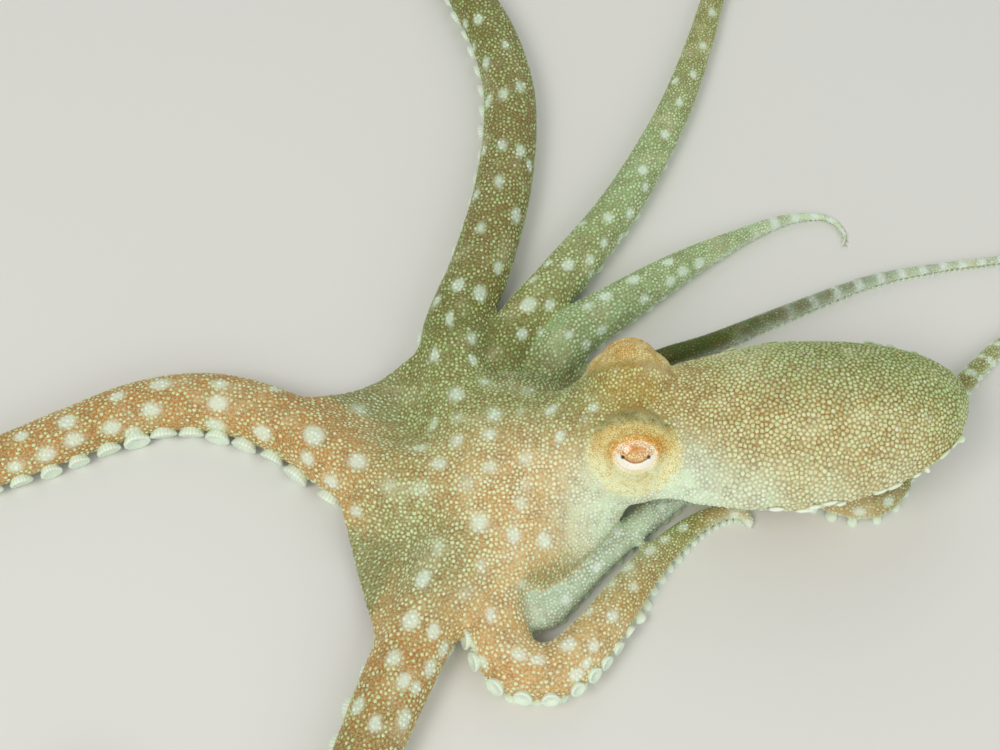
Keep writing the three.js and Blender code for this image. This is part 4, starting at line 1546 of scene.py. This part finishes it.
def scatter(mesh, count):
    """Places spread over a mesh by area, and the directions straight out of it there."""
    mesh.calc_loop_triangles()
    corners = np.empty(len(mesh.loop_triangles) * 3, np.int32)
    mesh.loop_triangles.foreach_get("vertices", corners)
    corners = corners.reshape(-1, 3)
    at = points_of(mesh)[corners]
    a, b, c = at.transpose(1, 0, 2)
    area = np.linalg.norm(np.cross(b - a, c - a), axis=1)
    pick = rng.choice(len(area), count, p=area / area.sum())
    near_a, split = np.sqrt(rng.random(count)), rng.random(count)
    weights = np.column_stack([1 - near_a, near_a * (1 - split), near_a * split])
    place = (at[pick] * weights[..., None]).sum(axis=1)
    out = (skin_normals(mesh)[corners[pick]] * weights[..., None]).sum(axis=1)
    return place, out / np.linalg.norm(out, axis=1, keepdims=True)


def bare(place, out, found):
    """Where no granules grow: soles and undersides, and the smooth rings round the eyes."""
    empty = (out[:, 2] < SOLE_SLOPE) | ((place[:, 2] < SOLE_HEIGHT) & (found["mantle"] < 0.5))
    for side in EYE_SIDES:
        front, wide = eye_axis(place, side)
        empty |= (front > -3.5) & (wide < rng.uniform(*EYE_BARE, len(place)))
    return empty


def gap_at(found):
    gap = np.clip(GAPS["share"] * found["radius"], GAPS["smallest"], GAPS["arm"])
    gap = lerp(gap, GAPS["crown"], np.maximum(found["crown"], found["head"]))
    gap = lerp(gap, GAPS["web"], smoothstep(WEB_OFF, 1.6, found["off"]) * found["web"])
    gap = lerp(gap, GAPS["mantle"], found["mantle"])
    return lerp(EYE_GAP, gap, smoothstep(*EYE_NEAR, found["from_eye"]))


def survey_more(place):
    """The survey, with the arm's direction and how surely a point lies in a web between arms."""
    found = survey(place)
    nearest = samples[[sample_tree.find(p)[1] for p in place]]
    found["ahead"] = np.column_stack([-nearest[:, 4], nearest[:, 3], np.zeros(len(place))])
    from_mouth = from_mouth_to(place)
    inside = (found["mantle"] < 0.3) & (found["head"] < 0.3)
    found["from_eye"] = np.full(len(place), np.inf)
    for side in EYE_SIDES:
        front, wide = eye_axis(place, side)
        wide = np.where(front > EYE_BACK, wide, np.inf)
        found["from_eye"] = np.minimum(found["from_eye"], wide)
    found["web"] = smoothstep(18, 30, from_mouth) * (from_mouth < 75) * inside
    return found


def keep_spaced(place, gap):
    """The numbers of places that are kept, no two nearer than their gap."""
    tree = tree_of(place)
    free, kept = np.ones(len(place), bool), []
    for index in range(len(place)):
        if free[index]:
            kept.append(index)
            for _, other, _ in tree.find_range(place[index], gap[index]):
                free[other] = False
    return np.array(kept)


def chosen(found, keep):
    return {key: values[keep] for key, values in found.items()}


roots, outward = scatter(skin.data, CANDIDATES)
root_survey = survey_more(roots)
grown = ~bare(roots, outward, root_survey)
roots, outward, root_survey = roots[grown], outward[grown], chosen(root_survey, grown)
root_gap = gap_at(root_survey)
kept = keep_spaced(roots, root_gap)
roots, outward, root_gap = roots[kept], outward[kept], root_gap[kept]
root_survey = chosen(root_survey, kept)


PUSH = {"near": 7, "reach": 1.4, "share": 0.22, "turns": 3}


def push_apart(place, out, gap):
    """Moves places away from close neighbours, then back onto the skin, so that gaps fill."""
    bm = bmesh.new()
    bm.from_mesh(skin.data)
    surface = BVHTree.FromBMesh(bm)
    for _ in range(PUSH["turns"]):
        tree = tree_of(place)
        near = np.array([[i for _, i, _ in tree.find_n(p, PUSH["near"])][1:] for p in place])
        away = place[:, None] - place[near]
        far = np.linalg.norm(away, axis=2, keepdims=True)
        push = away / far * np.maximum(PUSH["reach"] * gap[:, None, None] - far, 0) * PUSH["share"]
        push = push.sum(axis=1)
        push -= (push * out).sum(axis=1, keepdims=True) * out
        place = np.array([surface.find_nearest(p)[0] for p in place + push])
    bm.free()
    return place


roots = push_apart(roots, outward, root_gap)
root_survey = survey_more(roots)
print("granules:", len(roots))

# %% Granule shapes
PEBBLE_SIDES = {"fine": 6, "broad": 8}
PEBBLE_PROFILES = {  # radius in its own widths, height in its own heights
    "fine": [(0.0, -0.5), (1.0, -0.5), (0.8, 0.68), (0.0, 1.0)],
    "broad": [(0.0, -0.5), (1.0, -0.5), (0.9, 0.42), (0.56, 0.92), (0.0, 1.08)],
}
COBBLE_GAP = {"mantle": 0.95, "crown": 0.9, "arm": 0.92, "web": 0.96}
NEIGHBOURS = 9
WEB_SLIM, ARM_SLIM = 0.5, 0.86  # how wide across a granule is for its length
LOOSE = {"arm": 0.52, "crown": 0.36, "mantle": 0.2}  # how much smaller the smallest ones are
LUCK_CURVE = 0.8
ROUNDED = 0.25  # how far a cobble is drawn from its neighbours' gaps to a circle
GRANULE_HEIGHT, HEIGHT_LUCK = 0.34, (0.85, 0.4)  # in mean radii, and how it strays
WHITE_GROWS, WHITE_RISES = 0.14, 0.35  # white granules are wider and higher
FOOT = 0.12  # how far a granule's foot is sunk under the skin

root_tree = tree_of(roots)
near_roots = np.array([[i for _, i, _ in root_tree.find_n(p, NEIGHBOURS)][1:] for p in roots])
white_here = spot_mask(roots, root_tree)
white_here = np.maximum(white_here, BAND_SHARES["granules"] * band_mask(root_survey))
own = rng.random((len(roots), 4))


def granule_frame():
    """Two directions in the skin at every root. On arms and webs the first runs outward."""
    flat = root_survey["ahead"].copy()
    from_mouth = roots - CROWN["centre"]
    radial = from_mouth * (1, 1, 0)
    radial /= np.linalg.norm(radial, axis=1, keepdims=True)
    web = smoothstep(WEB_OFF, 1.5, root_survey["off"]) * root_survey["web"]
    flat = lerp(flat, radial, web[:, None])
    flat -= (flat * outward).sum(axis=1, keepdims=True) * outward
    flat /= np.maximum(np.linalg.norm(flat, axis=1, keepdims=True), 1e-6)
    return flat, np.cross(outward, flat), web


along_skin, across_skin, web_share = granule_frame()


def reach_to_neighbours(sides):
    """How far a cobble reaches in each direction before it meets the cobble next to it."""
    turn = np.arange(sides) * math.tau / sides
    off = roots[near_roots] - roots[:, None]
    x = (off * along_skin[:, None]).sum(axis=2)
    y = (off * across_skin[:, None]).sum(axis=2)
    far, toward = np.linalg.norm(off, axis=2), np.arctan2(y, x)
    spread = np.cos(turn[None, None] - toward[..., None])
    reach = np.where(spread > 0.15, 0.5 * far[..., None] / np.maximum(spread, 0.15), np.inf)
    return np.minimum(reach.min(axis=1), 0.9 * root_gap[:, None]), turn


def by_region(table, trunk, mantle):
    return lerp(lerp(table["arm"], table["crown"], trunk), table["mantle"], mantle)


def granule_copies(template, sides, pick):
    """The points of the picked granules, each a copy of the template shaped by its neighbours."""
    reach, turn = reach_to_neighbours(sides)
    reach = reach[pick]
    mantle, web = root_survey["mantle"][pick], web_share[pick]
    trunk = np.maximum(root_survey["crown"], root_survey["head"])[pick]
    fill = lerp(by_region(COBBLE_GAP, trunk, mantle), COBBLE_GAP["web"], web)
    slim = lerp(lerp(ARM_SLIM, 1.0, np.maximum(trunk, mantle)), WEB_SLIM, web)
    size = fill * (1 - by_region(LOOSE, trunk, mantle) * own[pick, 0] ** LUCK_CURVE)
    size *= 1 + WHITE_GROWS * np.clip(white_here[pick], 0, 1)
    reach = (1 - ROUNDED) * reach + ROUNDED * reach.mean(axis=1, keepdims=True)
    around = np.arctan2(template[:, 1], template[:, 0]) / math.tau * sides
    around = np.round(around).astype(int) % sides
    radius = reach[:, around] * np.hypot(template[:, 0], template[:, 1]) * size[:, None]
    x = radius * np.cos(turn[around])
    y = radius * np.sin(turn[around]) * slim[:, None]
    height = GRANULE_HEIGHT * (reach.mean(axis=1) * size)
    height *= HEIGHT_LUCK[0] + HEIGHT_LUCK[1] * own[pick, 1]
    height *= 1 + WHITE_RISES * white_here[pick]
    z = template[None, :, 2] * height[:, None] - np.where(template[:, 2] < 0, FOOT, 0.0)[None]
    return (roots[pick, None] + x[..., None] * along_skin[pick, None]
            + y[..., None] * across_skin[pick, None] + z[..., None] * outward[pick, None])


# %% Granule colours
OWN_TINTS = ((224, 170, 92), (250, 248, 216), (190, 216, 170))  # warm, pale and green ones
WEB_TINT = (210, 238, 200)  # slim bluish-white granules on the webs
TINT_SHARE, TINT_SPLIT = (0.34, 0.5, 0.3), (0.22, 0.62)  # how far each goes, and how common
TINT_DARK = (0.02, 0.4)  # granules darker than this stray less
WEB_TINT_SHARE = 0.6
SUNKEN = {"arm": 0.6, "mantle": 0.3}  # how far the smallest granules keep the groove's colour


def granule_tones(pick):
    """A granule's own groove and granule colour: its place's tone, strayed towards a tint."""
    groove, granule = tones_at(roots[pick], chosen(root_survey, pick))
    which = np.searchsorted(TINT_SPLIT, own[pick, 2])
    tint = np.array([linear(*rgb) for rgb in OWN_TINTS])[which]
    share = np.array(TINT_SHARE)[which] * own[pick, 3]
    share *= smoothstep(*TINT_DARK, granule.mean(axis=1))
    granule = granule + (tint - granule) * share[:, None]
    bluish = WEB_TINT_SHARE * web_share[pick]
    granule = granule + (linear(*WEB_TINT) - granule) * bluish[:, None]
    calm = lerp(SUNKEN["arm"], SUNKEN["mantle"], root_survey["mantle"][pick])
    sunk = calm * smoothstep(0.25, 1.0, own[pick, 0]) * (1 - 0.8 * white_here[pick])
    return groove, granule + (groove - granule) * sunk[:, None]


def spot_whiteness(pick):
    """How white a granule is. Its own luck shifts it, so a spot's edge dissolves into grains."""
    luck = (own[pick, 3] - 0.5) * 0.42
    return smoothstep(0.25, 1.0, white_here[pick] + luck * (white_here[pick] > 0.06))


# %% Granule unwrap
PATCH = 0.003
CROWN_MAP = 180.0  # the crown's map is a disc from above, this wide
HEAD_AXIS_HEIGHT = 14.0


def unwrap(group, pick):
    """Where each root lies when its own part of the skin is laid flat, from 0 to 1."""
    found = chosen(root_survey, pick)
    x, y, z = roots[pick].T
    if group in arms:
        u = found["along"] / (arms[group].length + 4)
        v = found["round"] / math.tau + 0.5
    elif group == "crown":
        far = from_mouth_to(roots[pick]) / CROWN_MAP
        turn = np.arctan2(y - CROWN["centre"][1], x - CROWN["centre"][0])
        u, v = 0.5 + far * np.cos(turn), 0.5 + far * np.sin(turn)
    else:
        u = (x - x.min()) / np.ptp(x)
        v = np.arctan2(y - np.interp(x, *MANTLE_LINE), z - HEAD_AXIS_HEIGHT) / math.tau + 0.5
    return np.clip(np.column_stack([u, v]), 0, 1) * (1 - 2 * PATCH) + PATCH


def add_bake_map(mesh, centre, template):
    """The OFBake map: every granule is a small patch at its root's place on the unwrap."""
    patch = template[:, :2] / np.abs(template[:, :2]).max() * PATCH / 2
    spot = (centre[:, None] + patch[None]).reshape(-1, 2)
    corner = np.empty(len(mesh.loops), np.int32)
    mesh.loops.foreach_get("vertex_index", corner)
    layer = mesh.uv_layers.new(name="OFBake")
    layer.data.foreach_set("uv", spot[corner].astype(np.float32).ravel())


# %% Granule finish
granule_finish, g, shader = new_material("granule", 0.42, Specular_IOR_Level=0.5,
                                         Subsurface_Weight=0.12, Subsurface_Scale=0.8 * MM)
made = mottled(g, g.attribute("rise", "Fac"))[1]
g.feed(shader.inputs, {"Base Color": made["Color"], "Roughness": made["Roughness"],
                       "Normal": g.bump(made["Height"], 0.1, 0.5)})

# %% Granules
RISE = (0.0, 0.75)  # heights on a granule over which it takes its own colour


def granule_piece(name, copies, shape, groove, granule, white, centre):
    """A painted piece of many granules. Colours and whiteness are given for every point."""
    template, triangles = shape
    mesh = repeated_mesh(name, copies, triangles)
    paint(mesh, "groove", groove)
    paint(mesh, "granule", granule)
    paint(mesh, "white", white)
    paint(mesh, "rise", np.tile(smoothstep(*RISE, template[:, 2]), len(copies)))
    add_bake_map(mesh, centre, template)
    piece = add_piece(name, mesh)
    piece.data.materials.append(granule_finish)
    print(f"{name}: {len(copies)} granules, {len(mesh.polygons)} triangles")
    return piece


group_of = np.array(ARM_NAMES, dtype=object)[root_survey["arm"]]
group_of[np.maximum(root_survey["crown"], web_share) > 0.5] = "crown"
group_of[root_survey["head"] > 0.5] = "head"
group_of[root_survey["mantle"] > 0.5] = "mantle"
granule_pieces = []
for group in ["mantle", "head", "crown", *ARM_NAMES]:
    kind = "fine" if group in arms else "broad"
    shape = spun_shape(PEBBLE_PROFILES[kind], PEBBLE_SIDES[kind])
    pick = np.flatnonzero(group_of == group)
    copies = granule_copies(shape[0], PEBBLE_SIDES[kind], pick)
    groove, granule = (np.repeat(tone, len(shape[0]), axis=0) for tone in granule_tones(pick))
    white = np.repeat(spot_whiteness(pick), len(shape[0]))
    granule_pieces.append(granule_piece(f"granules_{group}", copies, shape, groove, granule, white,
                                        unwrap(group, pick)))

# %% [markdown]
# ## Keel lumps and papillae
# The keel is a low ridge round the mantle's side. Pale elongated lumps sit along it like a broken
# cord, and towards the tip a few stand up as soft spikes. They are the same spun shape, stretched
# along the ridge, in a piece of their own.

# %% Keel
KEEL_STEP, KEEL_SPAN = 0.04, ((0.2, 0.98), (0.06, 0.98))  # the right side, then the left
KEEL_LUMP = (2.4, 0.8, 0.62)  # half length along the ridge, half width across it, height
KEEL_LUCK = {"along": 0.012, "angle": 0.07, "kept": 0.72}
KEEL_WHITE = 0.75
SPIKES_FROM, SPIKE_HEIGHT, SPIKE_LENGTH, SPIKE_LUCK = 0.72, 1.7, 0.55, 0.45
KEEL_MAP = ((40, 90), (-15, 60))  # where the lumps' map starts on the ground plan, and its size


def keel_lumps(template):
    rows = []
    for side_angle in (0.0, math.pi):
        share = np.arange(*KEEL_SPAN[side_angle > 1], KEEL_STEP)
        share = share + rng.uniform(-KEEL_LUCK["along"], KEEL_LUCK["along"], len(share))
        share = share[rng.random(len(share)) < KEEL_LUCK["kept"]]
        angle = side_angle + rng.uniform(-KEEL_LUCK["angle"], KEEL_LUCK["angle"], len(share))
        place = mantle_surface(share, angle)
        ahead = mantle_surface(share + 0.004, angle) - place
        out = place - mantle_frame(share)[0]
        ahead /= np.linalg.norm(ahead, axis=1, keepdims=True)
        out -= (out * ahead).sum(axis=1, keepdims=True) * ahead
        out /= np.linalg.norm(out, axis=1, keepdims=True)
        across = np.cross(out, ahead)
        spike = (share > SPIKES_FROM) & (rng.random(len(share)) < SPIKE_LUCK)
        length = KEEL_LUMP[0] * rng.uniform(0.6, 1.25, len(share))
        length *= np.where(spike, SPIKE_LENGTH, 1)
        width = KEEL_LUMP[1] * rng.uniform(0.8, 1.2, len(share))
        height = np.where(spike, SPIKE_HEIGHT, KEEL_LUMP[2]) * rng.uniform(0.7, 1.15, len(share))
        x, y, z = (template[None, :, i, None] for i in range(3))
        rows.append(place[:, None] + x * (ahead * length[:, None])[:, None]
                    + y * (across * width[:, None])[:, None] + z * (out * height[:, None])[:, None])
    return np.concatenate(rows)


keel_shape = spun_shape(PEBBLE_PROFILES["broad"], PEBBLE_SIDES["broad"])
keel_copies = keel_lumps(keel_shape[0])
keel_points = keel_copies.astype(np.float32).astype(float).reshape(-1, 3)
keel_white = KEEL_WHITE * smoothstep(-0.2, 0.8, keel_shape[0][:, 2])
keel_centre = np.column_stack([(keel_copies.mean(axis=1)[:, axis] - start) / size
                               for axis, (start, size) in enumerate(KEEL_MAP)])
granule_pieces.append(granule_piece(
    "keel_lumps", keel_copies, keel_shape, *tones_at(keel_points, survey(keel_points)),
    np.tile(keel_white, len(keel_copies)), keel_centre))

# %% [markdown]
# ## Into metres
# Everything so far was shaped in millimetres, which is kinder to read. A last pass scales each
# finished mesh to metres, shades it smooth and leaves its object at the origin.

# %% Into metres
def finish_mesh(piece):
    mesh = piece.data
    mesh.transform(Matrix.Scale(MM, 4))
    mesh.polygons.foreach_set("use_smooth", np.ones(len(mesh.polygons), bool))
    mesh.update()
    return sum(len(face.vertices) - 2 for face in mesh.polygons)


finished = [skin, *eyeballs.values(), *suckers, *granule_pieces]
triangles = {piece.name: finish_mesh(piece) for piece in finished}
print("triangles:", sum(triangles.values()), "- most in one piece:", max(triangles.values()))
